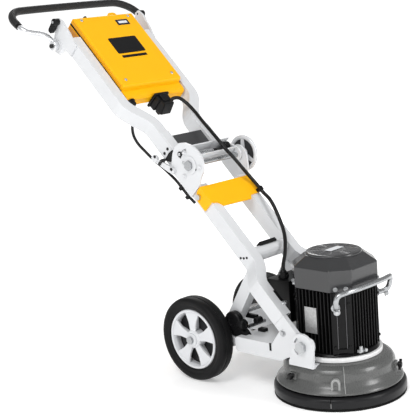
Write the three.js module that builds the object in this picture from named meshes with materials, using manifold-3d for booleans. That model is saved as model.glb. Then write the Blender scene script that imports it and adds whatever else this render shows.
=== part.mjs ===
// Single-disc floor grinder: a tilting grinding head on a two-wheeled frame with a fold-down upper frame.
// Millimetres, +Z up, +X towards the grinding head, origin on the floor under the middle of the machine.
import * as THREE from 'three';
import { mergeVertices } from 'three/addons/utils/BufferGeometryUtils.js';
import Module from 'manifold-3d';

const wasm = await Module();
wasm.setup();

// ---- driving dimensions ----
const HEAD_X = 393.8;        // head axis, forward of the origin
const RAIL_LEVEL = 65;     // distance of the rails' rear face from the head axis foot, square to the rails
const RAIL_W = 31;         // rail width
const RAIL_D = 42;         // rail depth
const RAIL_WALL = 3;
const LOWER_OUT = 91;      // half width over the lower rails
const LEG_OUT = 131;       // half width over the front legs
const UPPER_OUT = 147;     // half width over the upper rails
const HINGE = { s: 676, n: 64, r: 8 };
const AXLE = { x: -363, z: 113, r: 10 };
const WHEEL = { out: 162, width: 46, r: 113, rim: 81 };
const TILT = { x: -5, z: 147, r: 9 };
const BOX = { half: 110, s0: 978, s1: 1241, n0: 6, lip: 33, top: 57 };
const SHROUD_R = 161.5;
const SKIRT_R = 169;
const DISC_R = 140;
const MOTOR = { half: 91, corner: 102.5, z0: 124.3, z1: 280, top: 365 };
const HANDLE = { half: 229, tube: 8, grip: 10.5, s: 1206, n: -10, top: 1369 };
const GAP = 0.35;

// ---- small geometry kit ----
function closed(geometry) {
  const g = geometry.index ? geometry.toNonIndexed() : geometry.clone();
  for (const key of Object.keys(g.attributes)) if (key !== 'position') g.deleteAttribute(key);
  const merged = mergeVertices(g, 1e-4);
  const p = merged.attributes.position, idx = merged.index.array, keep = [];
  let volume = 0;
  const a = new THREE.Vector3(), b = new THREE.Vector3(), c = new THREE.Vector3();
  for (let i = 0; i < idx.length; i += 3) {
    const [i0, i1, i2] = [idx[i], idx[i + 1], idx[i + 2]];
    if (i0 === i1 || i1 === i2 || i2 === i0) continue;
    keep.push(i0, i1, i2);
    volume += a.fromBufferAttribute(p, i0).dot(b.fromBufferAttribute(p, i1).cross(c.fromBufferAttribute(p, i2)));
  }
  if (volume < 0) for (let i = 0; i < keep.length; i += 3) [keep[i], keep[i + 1]] = [keep[i + 1], keep[i]];
  merged.setIndex(keep);
  return merged;
}

function solid(geometry) {
  const g = closed(geometry);
  return new wasm.Manifold(new wasm.Mesh({
    numProp: 3,
    vertProperties: new Float32Array(g.attributes.position.array),
    triVerts: new Uint32Array(g.index.array),
  }));
}

function toGeometry(manifold) {
  const mesh = manifold.getMesh(), count = mesh.vertProperties.length / mesh.numProp;
  const position = new Float32Array(count * 3);
  for (let i = 0; i < count; i++) {
    for (let k = 0; k < 3; k++) position[i * 3 + k] = mesh.vertProperties[i * mesh.numProp + k];
  }
  const g = new THREE.BufferGeometry();
  g.setAttribute('position', new THREE.BufferAttribute(position, 3));
  g.setIndex(Array.from(mesh.triVerts));
  return g;
}

const union = (...parts) => parts.flat().reduce((sum, part) => sum.add(part));
const cut = (part, ...tools) => tools.flat().reduce((left, tool) => left.subtract(tool), part);
const moved = (part, matrix) => solid(toGeometry(part).applyMatrix4(matrix));
const mirrorY = (part) => moved(part, new THREE.Matrix4().makeScale(1, -1, 1));
const pair = (part) => union(part, mirrorY(part));
const shifted = (part, x, y, z) => moved(part, new THREE.Matrix4().makeTranslation(x, y, z));
const turnedZ = (part, angle) => moved(part, new THREE.Matrix4().makeRotationZ(angle));

// A point of the side view, from its place s along the rails and n square to their rear face.
const sn = (s, n) => [(RAIL_LEVEL + n - s) / Math.SQRT2, (RAIL_LEVEL + n + s) / Math.SQRT2];
const at = (s, n, y) => { const [x, z] = sn(s, n); return new THREE.Vector3(x, y, z); };
const X = new THREE.Vector3(1, 0, 0), Y = new THREE.Vector3(0, 1, 0), Z = new THREE.Vector3(0, 0, 1);
const ALONG = new THREE.Vector3(-1, 0, 1).normalize(), OUT = new THREE.Vector3(1, 0, 1).normalize();

function prism(points, depth, u, v, w, origin, holes = []) {
  const shape = new THREE.Shape(points.map(([a, b]) => new THREE.Vector2(a, b)));
  for (const hole of holes) shape.holes.push(new THREE.Path(hole.map(([a, b]) => new THREE.Vector2(a, b))));
  const g = new THREE.ExtrudeGeometry(shape, { depth, bevelEnabled: false, steps: 1 });
  return solid(g.applyMatrix4(new THREE.Matrix4().makeBasis(u, v, w).setPosition(origin)));
}
// Side-view outline [x, z] made solid from y0 to y1.
const slab = (points, y0, y1) => prism(points.map(([x, z]) => [z, x]), y1 - y0, Z, X, Y, new THREE.Vector3(0, y0, 0));
// The same with the outline given along the rails.
const slabSN = (points, y0, y1) => slab(points.map(([s, n]) => sn(s, n)), y0, y1);
// Outline [y, s] in the plane of the rails, made solid from depth n0 to n1.
const sheetSN = (points, n0, n1) => prism(points, n1 - n0, Y, ALONG, OUT, at(0, n0, 0));
// Plan outline [x, y] from z0 to z1.
const plan = (points, z0, z1) => prism(points, z1 - z0, X, Y, Z, new THREE.Vector3(0, 0, z0));

function box(x0, x1, y0, y1, z0, z1) {
  return solid(new THREE.BoxGeometry(x1 - x0, y1 - y0, z1 - z0)
    .translate((x0 + x1) / 2, (y0 + y1) / 2, (z0 + z1) / 2));
}

function rod(from, to, radius, sides = 16, endRadius = radius) {
  const axis = to.clone().sub(from), length = axis.length();
  const g = new THREE.CylinderGeometry(endRadius, radius, length, sides).translate(0, length / 2, 0);
  const turn = new THREE.Quaternion().setFromUnitVectors(Y, axis.normalize());
  return solid(g.applyQuaternion(turn).translate(from.x, from.y, from.z));
}
const rodY = (x, z, y0, y1, radius, sides = 16) =>
  rod(new THREE.Vector3(x, y0, z), new THREE.Vector3(x, y1, z), radius, sides);
const rodSN = (s, n, y0, y1, radius, sides = 16) => rod(at(s, n, y0), at(s, n, y1), radius, sides);
const rodZ = (x, y, z0, z1, radius, sides = 16) =>
  rod(new THREE.Vector3(x, y, z0), new THREE.Vector3(x, y, z1), radius, sides);

// Profile [r, z] turned round the head axis; a loop that starts off the axis is closed into a ring.
function spun(profile, sides = 24) {
  const pts = profile.map(([r, z]) => new THREE.Vector2(r, z));
  if (profile[0][0] > 0) pts.push(pts[0].clone());
  return solid(new THREE.LatheGeometry(pts, sides).rotateX(Math.PI / 2));
}
// Profile [r, y] turned round a cross axis through (x, z).
function spunY(profile, x, z, sides = 32) {
  const pts = profile.map(([r, y]) => new THREE.Vector2(r, y));
  if (profile[0][0] > 0) pts.push(pts[0].clone());
  return solid(new THREE.LatheGeometry(pts, sides).translate(x, 0, z));
}

function disc(radius, sides) {
  return Array.from({ length: sides }, (_, i) =>
    [radius * Math.cos(2 * Math.PI * i / sides), radius * Math.sin(2 * Math.PI * i / sides)]);
}
function swept(points, radius, steps, sides = 10, tension = 0.5) {
  const curve = new THREE.CatmullRomCurve3(points, false, 'centripetal', tension);
  const shape = new THREE.Shape(disc(radius, sides).map(([a, b]) => new THREE.Vector2(a, b)));
  return solid(new THREE.ExtrudeGeometry(shape, { steps, bevelEnabled: false, extrudePath: curve }));
}
function arcPoints(cx, cy, radius, from, to, count) {
  return Array.from({ length: count + 1 }, (_, i) => {
    const a = (from + (to - from) * i / count) * Math.PI / 180;
    return [cx + radius * Math.cos(a), cy + radius * Math.sin(a)];
  });
}

// A rail whose centre line [y, s] is bent sideways: an open-ended box tube.
function bentRail(centre, width, n0, n1) {
  const side = (offset) => centre.map(([y, s], i) => {
    const before = centre[Math.max(i - 1, 0)], after = centre[Math.min(i + 1, centre.length - 1)];
    const dy = after[0] - before[0], ds = after[1] - before[1], length = Math.hypot(dy, ds);
    return [y - offset * ds / length, s + offset * dy / length];
  });
  return sheetSN([...side(width / 2), ...side(-width / 2).reverse()], n0, n1);
}
function tubeRail(centre) {
  const first = centre[0], last = centre[centre.length - 1];
  const inner = [[first[0], first[1] - 5], ...centre.slice(1, -1), [last[0], last[1] + 5]];
  return cut(bentRail(centre, RAIL_W, 0, RAIL_D),
    bentRail(inner, RAIL_W - 2 * RAIL_WALL, RAIL_WALL, RAIL_D - RAIL_WALL));
}
// Sideways S-bend from half width a at place s0 to half width b at place s1.
function sBend(a, b, s0, s1, count = 8) {
  return Array.from({ length: count + 1 }, (_, i) => {
    const t = i / count;
    return [a + (b - a) * (0.5 - 0.5 * Math.cos(Math.PI * t)), s0 + (s1 - s0) * t];
  });
}

// ---- scene graph ----
const grinder = new THREE.Group();
grinder.position.x = HEAD_X;
const PAINT = {
  white: [0xe9ebec, 0.42, 0.1], yellow: [0xffb400, 0.4, 0.0], black: [0x1b1c1d, 0.55, 0.0],
  castIron: [0x2a2b2d, 0.5, 0.2], cowl: [0x4b4c4e, 0.5, 0.1], castGrey: [0x737573, 0.38, 0.4],
  rubber: [0x262728, 0.85, 0.0], steel: [0xb9bcbf, 0.3, 0.9], zinc: [0xc9ccce, 0.35, 0.8],
  rim: [0xd3d5d6, 0.4, 0.1], copper: [0x9a5b34, 0.4, 0.8], band: [0xf2f3f3, 0.4, 0.0],
  diamond: [0x77797b, 0.7, 0.6], bristle: [0x121213, 0.95, 0.0], grey: [0x8f9294, 0.5, 0.2],
};
function piece(name, part, look) {
  const [color, roughness, metalness] = PAINT[look];
  const mesh = new THREE.Mesh(toGeometry(part), new THREE.MeshStandardMaterial({ color, roughness, metalness }));
  mesh.name = name;
  grinder.add(mesh);
  return part;
}

// ---- lower frame ----
function lowerRail() {
  const mid = LOWER_OUT - RAIL_W / 2, foot = LEG_OUT - RAIL_W / 2;
  return tubeRail([[-foot, 200.4], ...sBend(-foot, -mid, 298, 372), [-mid, 625]]);
}
const lowerRailR = cut(lowerRail(), rodSN(600, 22, -LOWER_OUT - 4, -LOWER_OUT + RAIL_W + 4, 4.3, 10));
piece('lower_rail_R', lowerRailR, 'white');
piece('lower_rail_L', mirrorY(lowerRailR), 'white');

function sidePlate() {
  const outline = [[-228, 97], [-80, 97], [-60, 108], ...arcPoints(TILT.x, TILT.z, 27, -120, 40, 8),
    [-26, 177], sn(200, RAIL_D), sn(200, 0), [-81, 173], [-103, 143], [-108, 136], [-228, 136],
    [-233, 131], [-233, 102]];
  const pocket = [[-226, 101], [-84, 101], [-62, 113], [-24, 131], [-24, 163], [-30, 175],
    sn(204, RAIL_D - 4), sn(204, 4), [-76, 173], [-99, 141], [-104, 132], [-226, 132]];
  return cut(slab(outline, -LEG_OUT, -LEG_OUT + RAIL_W), slab(pocket, -LEG_OUT + 4, -LEG_OUT + RAIL_W + 2),
    rodY(TILT.x, TILT.z, -LEG_OUT - 2, -LEG_OUT + RAIL_W + 2, TILT.r + GAP));
}
const legGap = slabSN([[199.9, -2], [206, -2], [206, RAIL_D + 2], [199.9, RAIL_D + 2]], -LEG_OUT - 1, -90);
const tray = union(box(-232, -112, -101, 101, 129, 132.4), box(-232, -228.5, -101, 101, 104, 130));
const headRoom = box(-98, 60, -118, 118, 90, 230);
piece('chassis_pan', union(cut(pair(cut(sidePlate(), legGap)), headRoom), tray), 'white');

function rearLeg() {
  const outline = [[-213, 304.3], [-306.6, 150.4], [-267, 150.4], [-188.5, 279.6]];
  const inner = slab([[-213.5, 298], [-301.4, 150], [-272.4, 150], [-193.6, 279.6]], -88, -63);
  return cut(slab(outline, -LOWER_OUT, -LOWER_OUT + RAIL_W), inner,
    slab([[-301.4, 155], [-306, 145], [-268, 145], [-272.4, 155]], -88, -63));
}
piece('rear_leg_R', rearLeg(), 'white');
piece('rear_leg_L', mirrorY(rearLeg()), 'white');

function hingePlate() {
  const outline = [[617, 1], [617, 46], [627, 68], [632, 88], [645, 104], [664, 113], [686, 114], [708, 108],
    [728, 96], [741, 80], [745, 62], [739, 40], [724, 16], [712, 1]];
  const slot = [...arcPoints(HINGE.s, HINGE.n, 45, -18, 32, 6), ...arcPoints(HINGE.s, HINGE.n, 35, 32, -18, 6)];
  return cut(slabSN(outline, -97.5, -LOWER_OUT - GAP), slabSN(slot, -100, -88),
    rodSN(HINGE.s, HINGE.n, -100, -88, HINGE.r + GAP), rodSN(706, 9, -100, -88, 4, 12));
}
piece('hinge_plate_R', hingePlate(), 'white');
// The left plate is narrow at its top, so that the handwheel beside it can be seen and reached.
const narrowPlate = [[617, 1], [617, 46], [627, 62], [650, 82], [664, 90], [686, 90], [700, 78], [703, 60], [700, 34],
  [708, 14], [706, 1]];
piece('hinge_plate_L', cut(slabSN(narrowPlate, LOWER_OUT + GAP, 97.5),
  rodSN(HINGE.s, HINGE.n, 88, 100, HINGE.r + GAP)), 'white');

function crossbar() {
  const edge = 95.6;
  const front = sheetSN([[-edge, 615], [-edge, 562], [-72, 557], [-60, 543], [44, 541], [52, 553], [edge, 556],
    [edge, 615]], RAIL_D + GAP, RAIL_D + 4.4);
  const cheek = slabSN([[561, 9], [561, RAIL_D + 4.4], [615, RAIL_D + 4.4], [615, 30], [606, 9]],
    -edge, -LOWER_OUT - GAP);
  return cut(union(front, pair(cheek)), pair(rodSN(600, 22, -100, -88, 4.3, 10)));
}
piece('crossbar', crossbar(), 'yellow');

function boltHead(centre, direction, radius, height, shank = 0, shankRadius = 3) {
  const tip = centre.clone().addScaledVector(direction, height);
  const head = rod(centre, tip, radius, 6);
  if (!shank) return head;
  return union(head, rod(centre.clone().addScaledVector(direction, -shank), tip, shankRadius, 10));
}
const RIGHT = new THREE.Vector3(0, -1, 0);
// One long bolt goes through both rails and holds the crossbar.
piece('crossbar_bolt', union(rodSN(600, 22, -98, 98, 4, 12), pair(boltHead(at(600, 22, -96), RIGHT, 8, 6))), 'steel');

piece('lower_cross_tube', cut(rodSN(392, 21, -LOWER_OUT + RAIL_W + GAP, LOWER_OUT - RAIL_W - GAP, 19, 16),
  rodSN(392, 21, -80, 80, 16, 16)), 'white');
piece('axle', rodY(AXLE.x, AXLE.z, -171, 171, AXLE.r, 16), 'black');

function axleHousing() {
  const outline = [[-262, 150], [-345, 150], [-385, 140], [-397, 118], [-392, 96], [-376, 86], [-290, 86],
    [-262, 98], [-240, 106], [-237, 113], [-243, 120], [-258, 128]];
  return cut(slab(outline, -112, -60.5), box(-245, -230, -113, -99, 90, 140));
}
piece('axle_carrier', cut(union(pair(axleHousing()), rodY(AXLE.x, AXLE.z, -61, 61, 17, 16)),
  rodY(AXLE.x, AXLE.z, -115, 115, AXLE.r + GAP + 0.1, 16)), 'black');

// ---- fold hinge ----
piece('hinge_shaft', union(rodSN(HINGE.s, HINGE.n, -104, 132, HINGE.r - 1, 20),
  boltHead(at(HINGE.s, HINGE.n, -98), RIGHT, 14, 8)), 'steel');

function handwheel() {
  const [x, z] = sn(HINGE.s, HINGE.n);
  const rim = spunY([[43, 108], [49, 108], [52, 113], [51, 119], [46, 121], [42, 116]], x, z, 24);
  const hub = spunY([[HINGE.r - 0.6, 101], [15, 101], [15, 126], [HINGE.r - 0.6, 126]], x, z, 16);
  const spokes = [100, 220, 340].map((angle) => {
    const a = angle * Math.PI / 180, spoke = box(13, 45, -6, 6, -4, 4);
    const turn = new THREE.Matrix4().makeRotationX(-Math.PI / 2).premultiply(new THREE.Matrix4().makeRotationY(a));
    return moved(spoke, turn.setPosition(x, 114, z));
  });
  return union(rim, hub, spokes);
}
piece('handwheel', handwheel(), 'white');

function foldLatch() {
  const bar = [[702, 15], [714, 14], [762, -8], [768, -24], [712, -4], [698, 6]];
  return union(slabSN(bar, -104, -98.2), rodSN(772, -16, -106, -98.2, 11, 16), rodSN(706, 9, -106, -98.2, 9, 16), rodSN(706, 9, -106, -92, 3.4, 12));
}
piece('fold_latch', foldLatch(), 'white');

// ---- upper frame ----
function upperRail() {
  const low = LOWER_OUT - RAIL_W / 2, high = UPPER_OUT - RAIL_W / 2;
  return tubeRail([[-low, 748], ...sBend(-low, -high, 838, 938, 10), [-high, 1182]]);
}
piece('upper_rail_R', upperRail(), 'white');
piece('upper_rail_L', mirrorY(upperRail()), 'white');

const WIDE_LUG = [[653, 40], [646, 62], [653, 84], [672, 95], [700, 93], [726, 78], [746, 46.4], [747.5, 42.5],
  [747.5, 1], [722, 1], [694, 34]];
const NARROW_LUG = [[664, 52], [659, 66], [668, 80], [686, 83], [727, 62], [746, 46.4], [747.5, 42.5], [747.5, 1],
  [734, 1], [720, 30], [694, 44]];
function hingeLug(outline) {
  const cheek = slabSN(outline, -90.8, -84);
  const tongue = slabSN([[740, 42.4], [810, 42.4], [810, 46.4], [740, 46.4]], -90.8, -61);
  return cut(union(cheek, tongue), rodSN(HINGE.s, HINGE.n, -95, -80, HINGE.r + GAP));
}

const channel = cut(slabSN([[690, 44], [727, 44], [727, 80], [690, 80]], -84.5, 84.5),
  slabSN([[693, 47], [724, 47], [724, 85], [693, 85]], -90, 90));
piece('hinge_yoke', union(hingeLug(WIDE_LUG), mirrorY(hingeLug(NARROW_LUG)), channel), 'white');

piece('upper_crossmember', cut(slabSN([[752, 6], [798, 6], [798, 38], [752, 38]], -59.7, 59.7),
  slabSN([[755, 9], [795, 9], [795, 35], [755, 35]], -70, 70)), 'black');

function handleBracket() {
  const outline = [[1150, 4], [1150, 38], [1190, 50], [1232, 56], [1250, 52], [1254, 38], [1240, 20],
    [1228, -18], [1206, -34], [1184, -26], [1176, 0]];
  const plate = slabSN(outline, -UPPER_OUT - 6, -UPPER_OUT - GAP);
  const seat = rodSN(HANDLE.s, HANDLE.n, -UPPER_OUT - 12, -UPPER_OUT - 5, 15, 24);
  return cut(union(plate, seat), rodSN(HANDLE.s, HANDLE.n, -UPPER_OUT - 20, -UPPER_OUT + 5, 5.4, 16),
    rodSN(1245, 43, -UPPER_OUT - 20, -UPPER_OUT + 5, 3.4, 12));
}
piece('handle_bracket_R', handleBracket(), 'white');
piece('handle_bracket_L', mirrorY(handleBracket()), 'white');

// Control box: tray with a cable shelf at its lower end, gasket, and a screwed lid.
function boxBase() {
  const outer = slabSN([[946, 6], [942, 12], [942, 34], [948, 40], [973, 40], [976, BOX.lip], [BOX.s1 - 2, BOX.lip],
    [BOX.s1 - 2, 10], [BOX.s1 - 6, 6]], -BOX.half, BOX.half);
  const inner = slabSN([[980, 10], [980, 50], [BOX.s1 - 6, 50], [BOX.s1 - 6, 10]], -BOX.half + 4, BOX.half - 4);
  const throat = slabSN([[947, 11], [947, 30], [985, 30], [985, 11]], -BOX.half + 4, BOX.half - 4);
  return cut(outer, inner, throat);
}
const glandAt = { s: 942, n: 27, y: -96 }, plugAt = { s: 942, n: 24, y: 10 };
const boxEntries = [rod(at(930, glandAt.n, glandAt.y), at(952, glandAt.n, glandAt.y), 6.4, 16),
  rod(at(930, plugAt.n, plugAt.y), at(952, plugAt.n, plugAt.y), 12.4, 20)];
piece('control_box_base', cut(boxBase(), boxEntries), 'yellow');
const frameRing = (inset, n0, n1, wall) => cut(
  slabSN([[976.4, n0], [BOX.s1 - inset, n0], [BOX.s1 - inset, n1], [976.4, n1]], -BOX.half + inset, BOX.half - inset),
  slabSN([[976.4 + wall, n0 - 2], [BOX.s1 - inset - wall, n0 - 2], [BOX.s1 - inset - wall, n1 + 2],
    [976.4 + wall, n1 + 2]], -BOX.half + inset + wall, BOX.half - inset - wall));
piece('box_gasket', frameRing(1, BOX.lip + GAP, 38.6, 8), 'black');
function boxLid() {
  const skin = slabSN([[BOX.s0, 39], [BOX.s0, 51], [BOX.s0 + 5, BOX.top], [BOX.s1 - 5, BOX.top], [BOX.s1, 51],
    [BOX.s1, 39]], -BOX.half, BOX.half);
  const inner = slabSN([[BOX.s0 + 6, 30], [BOX.s0 + 6, 52], [BOX.s1 - 6, 52], [BOX.s1 - 6, 30]],
    -BOX.half + 6, BOX.half - 6);
  const tab = slabSN([[BOX.s1 - 1, 42], [BOX.s1 + 14, 46], [BOX.s1 + 14, 52], [BOX.s1 - 1, 52]], 30, 62);
  return cut(union(skin, tab), inner, rod(at(1220, 45.5, -56), at(1250, 45.5, -56), 5.9, 16),
    lidScrewPlaces.map(([s, y]) => rod(at(s, 36, y), at(s, 62, y), 3.3, 10)));
}
const lidScrewPlaces = [[1227, -88], [1227, 88], [996, -88], [996, 88]];
piece('box_lid', boxLid(), 'yellow');
piece('cable_gland', cut(rod(at(926, glandAt.n, glandAt.y), at(941.6, glandAt.n, glandAt.y), 12, 20)
  .add(rod(at(940, glandAt.n, glandAt.y), at(950, glandAt.n, glandAt.y), 6, 16)),
rod(at(915, glandAt.n, glandAt.y), at(960, glandAt.n, glandAt.y), 4.1, 12)), 'black');
piece('motor_plug', cut(union(
  rod(at(plugAt.s - GAP, plugAt.n, plugAt.y), at(922, plugAt.n, plugAt.y), 21, 24),
  rod(at(923, plugAt.n, plugAt.y), at(890, plugAt.n, plugAt.y), 16, 20, 14),
  rod(at(940, plugAt.n, plugAt.y), at(951, plugAt.n, plugAt.y), 12, 20)),
rod(at(926, plugAt.n, plugAt.y), at(960, plugAt.n, plugAt.y), 5.4, 12)), 'black');

piece('power_switch', rod(at(1229, 45.5, -56), at(1249, 45.5, -56), 5.4, 16), 'black');

// ---- operator's handle ----
const handleDepth = (s) => HANDLE.n + (s < 1240 ? 5 * (s - HANDLE.s) / 34 : 5 - 27 * (s - 1240) / 129);
function handlePath() {
  const root = UPPER_OUT + 18, corner = 58, points = [];
  const arm = [[HANDLE.s, root], [HANDLE.s + 14, root + 1], [HANDLE.s + 38, root + 12], [HANDLE.s + 68, HANDLE.half - 4]];
  for (const [s, y] of arm) points.push(at(s, handleDepth(s), -y));
  for (const [y, s] of arcPoints(-(HANDLE.half - corner), HANDLE.top - corner, corner, 180, 90, 6)) {
    points.push(at(s, handleDepth(s), y));
  }
  const left = points.slice().reverse().map((p) => new THREE.Vector3(p.x, -p.y, p.z));
  return [...points, ...left];
}
const handleLine = new THREE.CatmullRomCurve3(handlePath(), false, 'centripetal');
function alongHandle(outer, inner, from, to, steps, sides) {
  const points = Array.from({ length: steps + 1 }, (_, i) => handleLine.getPointAt(from + (to - from) * i / steps));
  const curve = new THREE.CatmullRomCurve3(points, false, 'centripetal');
  const shape = new THREE.Shape(disc(outer, sides).map(([a, b]) => new THREE.Vector2(a, b)));
  if (inner) shape.holes.push(new THREE.Path(disc(inner, sides).map(([a, b]) => new THREE.Vector2(a, b))));
  return solid(new THREE.ExtrudeGeometry(shape, { steps, bevelEnabled: false, extrudePath: curve }));
}
const eyes = pair(cut(rodSN(HANDLE.s, HANDLE.n, -UPPER_OUT - 27, -UPPER_OUT - 12.4, 13, 20),
  rodSN(HANDLE.s, HANDLE.n, -UPPER_OUT - 40, -UPPER_OUT, 5.4, 16)));
const pins = pair(union(rodSN(HANDLE.s, HANDLE.n, -UPPER_OUT - 27, -UPPER_OUT + 1, 5, 16)));
piece('handle_tube', union(cut(alongHandle(HANDLE.tube, 0, 0, 1, 36, 8),
  pair(rodSN(HANDLE.s, HANDLE.n, -UPPER_OUT - 12.4, -UPPER_OUT + 10, 20, 16))), eyes, pins), 'zinc');
piece('handle_grip', alongHandle(HANDLE.grip, HANDLE.tube + 1.7, 0.16, 0.84, 26, 8), 'rubber');

function clampLever() {
  const pivot = { s: 1245, n: 43 }, y0 = -UPPER_OUT - 24, y1 = -UPPER_OUT - 6.6;
  const paddle = slabSN([[1238, 42], [1236, 8], [1250, 6], [1254, 42]], y0 + 3, y1 - 2);
  return union(paddle, rodSN(pivot.s, pivot.n, y0, y1, 9.5, 20), rodSN(pivot.s, pivot.n, y0, -UPPER_OUT - 1, 3, 12));
}
piece('clamp_lever_R', clampLever(), 'black');
piece('clamp_lever_L', mirrorY(clampLever()), 'black');

// ---- wheels ----
function tyre() {
  const { out, width, r, rim } = WHEEL, inn = out - width;
  return spunY([[rim + GAP, -inn - 6], [rim + 10, -inn - 1], [r - 8, -inn], [r - 2, -inn - 4], [r, -inn - 12],
    [r, -out + 12], [r - 2, -out + 4], [r - 8, -out], [rim + 10, -out + 1], [rim + GAP, -out + 6]], AXLE.x, AXLE.z, 32);
}
function rim() {
  const { out, width, rim: r } = WHEEL, inn = out - width;
  const barrel = spunY([[r - 7, -inn - 6], [r, -inn - 6], [r, -out + 6], [r - 3, -out + 3], [r - 6, -out + 4],
    [r - 9, -out + 14]], AXLE.x, AXLE.z, 32);
  const hub = spunY([[AXLE.r + GAP, -inn - 3], [22, -inn - 3], [24, -out + 6], [21, -out + 1], [AXLE.r + GAP, -out + 1]],
    AXLE.x, AXLE.z, 18);
  const spokes = [0, 1, 2, 3, 4].map((i) => {
    const a = (18 + 72 * i) * Math.PI / 180;
    const blade = prism([[20, -8], [20, 8], [r - 5, 19], [r - 5, -19]], 16, X, Y, Z, new THREE.Vector3(0, 0, -8));
    const turn = new THREE.Matrix4().makeRotationY(a).multiply(new THREE.Matrix4().makeRotationX(Math.PI / 2));
    return moved(blade, turn.setPosition(AXLE.x, -out + 18, AXLE.z));
  });
  return cut(union(barrel, hub, spokes), rodY(AXLE.x, AXLE.z, -out - 5, -inn + 5, AXLE.r + GAP + 0.1, 16));
}
const tyreR = tyre(), rimR = rim();
piece('tyre_R', tyreR, 'rubber');
piece('tyre_L', mirrorY(tyreR), 'rubber');
piece('rim_R', rimR, 'rim');
piece('rim_L', mirrorY(rimR), 'rim');

// ---- grinding head ----
const SIDES = 32;
const shroud = spun([[52, 104], [111, 104], [124, 101], [135, 94], [141, 84], [142, 66], [149, 54], [160, 43],
  [SHROUD_R, 38], [157, 38], [146, 49], [138, 62], [137, 82], [130, 91], [120, 97], [52, 98.5]], SIDES);
const portHole = rod(new THREE.Vector3(-120, 0, 74), new THREE.Vector3(-170, 0, 74), 20, 20);
const boss = slab([[-9, 52], [-9, 72], [-4, 79], [4, 79], [9, 72], [9, 52]], -154, -139);
const bossTurn = turnedZ(boss, 38 * Math.PI / 180);
const shroudSolid = cut(union(shroud, cut(bossTurn, spun([[0, 30], [139, 30], [139, 90], [0, 90]], SIDES))), portHole);
piece('shroud', shroudSolid, 'castGrey');
piece('dust_port', cut(union(
  rod(new THREE.Vector3(-143, 0, 74), new THREE.Vector3(-198, 0, 74), 25, 20, 24),
  rod(new THREE.Vector3(-130, 0, 74), new THREE.Vector3(-150, 0, 74), 19.6, 20)),
rod(new THREE.Vector3(-120, 0, 74), new THREE.Vector3(-205, 0, 74), 17, 20),
spun([[0, 30], [162.6, 30], [162.6, 39], [161, 43.6], [150, 54.8], [143, 66.6], [142.4, 110], [0, 110]], SIDES).subtract(
  rod(new THREE.Vector3(-120, 0, 74), new THREE.Vector3(-170, 0, 74), 19.7, 20))), 'black');
piece('band_clamp', spun([[104, 104.7], [110.8, 104.7], [110.8, 116.5], [104, 116.5]], SIDES), 'band');
piece('motor_flange', spun([[28.4, 104.6], [103.6, 104.6], [103.6, 118], [97, 123.9], [28.4, 123.9]], SIDES), 'castIron');

// Outline of the motor: a square with cut corners, radius as a function of the angle.
function squareRadius(angle, half, corner) {
  let r = Infinity;
  for (let k = 0; k < 8; k++) {
    const c = Math.cos(angle - k * Math.PI / 4), d = k % 2 ? corner : half;
    if (c > 0.2) r = Math.min(r, d / c);
  }
  return r;
}
function finnedOutline() {
  const { half, corner } = MOTOR, depth = 13, reach = corner * Math.SQRT2 - half, pts = [];
  for (let side = 0; side < 4; side++) {
    const turn = side * Math.PI / 2, place = (u, v) => pts.push(
      [v * Math.cos(turn) + u * Math.sin(turn), v * Math.sin(turn) - u * Math.cos(turn)]);
    for (let k = 3; k >= -3; k--) {
      const u = k * 15;
      place(u + 2.2, half - depth); place(u + 2.2, half - (Math.abs(k) === 3 ? 1 : 0));
      place(u - 2.2, half - (Math.abs(k) === 3 ? 1 : 0)); place(u - 2.2, half - depth);
    }
    const a = [half - depth, -(reach - 1)], rotate = ([x, y]) => pts.push(
      [x * Math.cos(turn) - y * Math.sin(turn), x * Math.sin(turn) + y * Math.cos(turn)]);
    [[half - depth, 53], [half - 4, 55.4], [55.4, half - 4], [53, half - depth]].forEach(rotate);
  }
  return pts;
}
const bodyTop = MOTOR.z1 - 18;
piece('motor_body', cut(plan(finnedOutline(), MOTOR.z0, MOTOR.z1), rodZ(0, 0, MOTOR.z0 - 2, bodyTop, 71.6, 24),
  rodZ(0, 0, bodyTop - 2, MOTOR.z1 + 2, 28.8, 24), box(-31, 12, -100, -88.6, 165, 242)), 'castIron');

function ringAt(z, half, corner, round, roundness, sides) {
  return Array.from({ length: sides }, (_, i) => {
    const a = 2 * Math.PI * (i + 0.5) / sides;
    const r = squareRadius(a, half, corner) * (1 - roundness) + round * roundness;
    return new THREE.Vector3(r * Math.cos(a), r * Math.sin(a), z);
  });
}
function lofted(rings) {
  const sides = rings[0].length, flat = rings.flat(), position = [], faces = [];
  for (let k = 0; k + 1 < rings.length; k++) {
    for (let i = 0; i < sides; i++) {
      const j = (i + 1) % sides, a = k * sides + i, b = k * sides + j, c = a + sides, d = b + sides;
      faces.push([a, b, d], [a, d, c]);
    }
  }
  const middle = [rings[0], rings[rings.length - 1]].map((ring) =>
    ring.reduce((sum, p) => sum.add(p), new THREE.Vector3()).divideScalar(sides));
  flat.push(...middle);
  const low = flat.length - 2, high = flat.length - 1, last = (rings.length - 1) * sides;
  for (let i = 0; i < sides; i++) {
    const j = (i + 1) % sides;
    faces.push([low, j, i], [high, last + i, last + j]);
  }
  for (const face of faces) for (const i of face) position.push(flat[i].x, flat[i].y, flat[i].z);
  const g = new THREE.BufferGeometry();
  g.setAttribute('position', new THREE.Float32BufferAttribute(position, 3));
  return solid(g);
}
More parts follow.
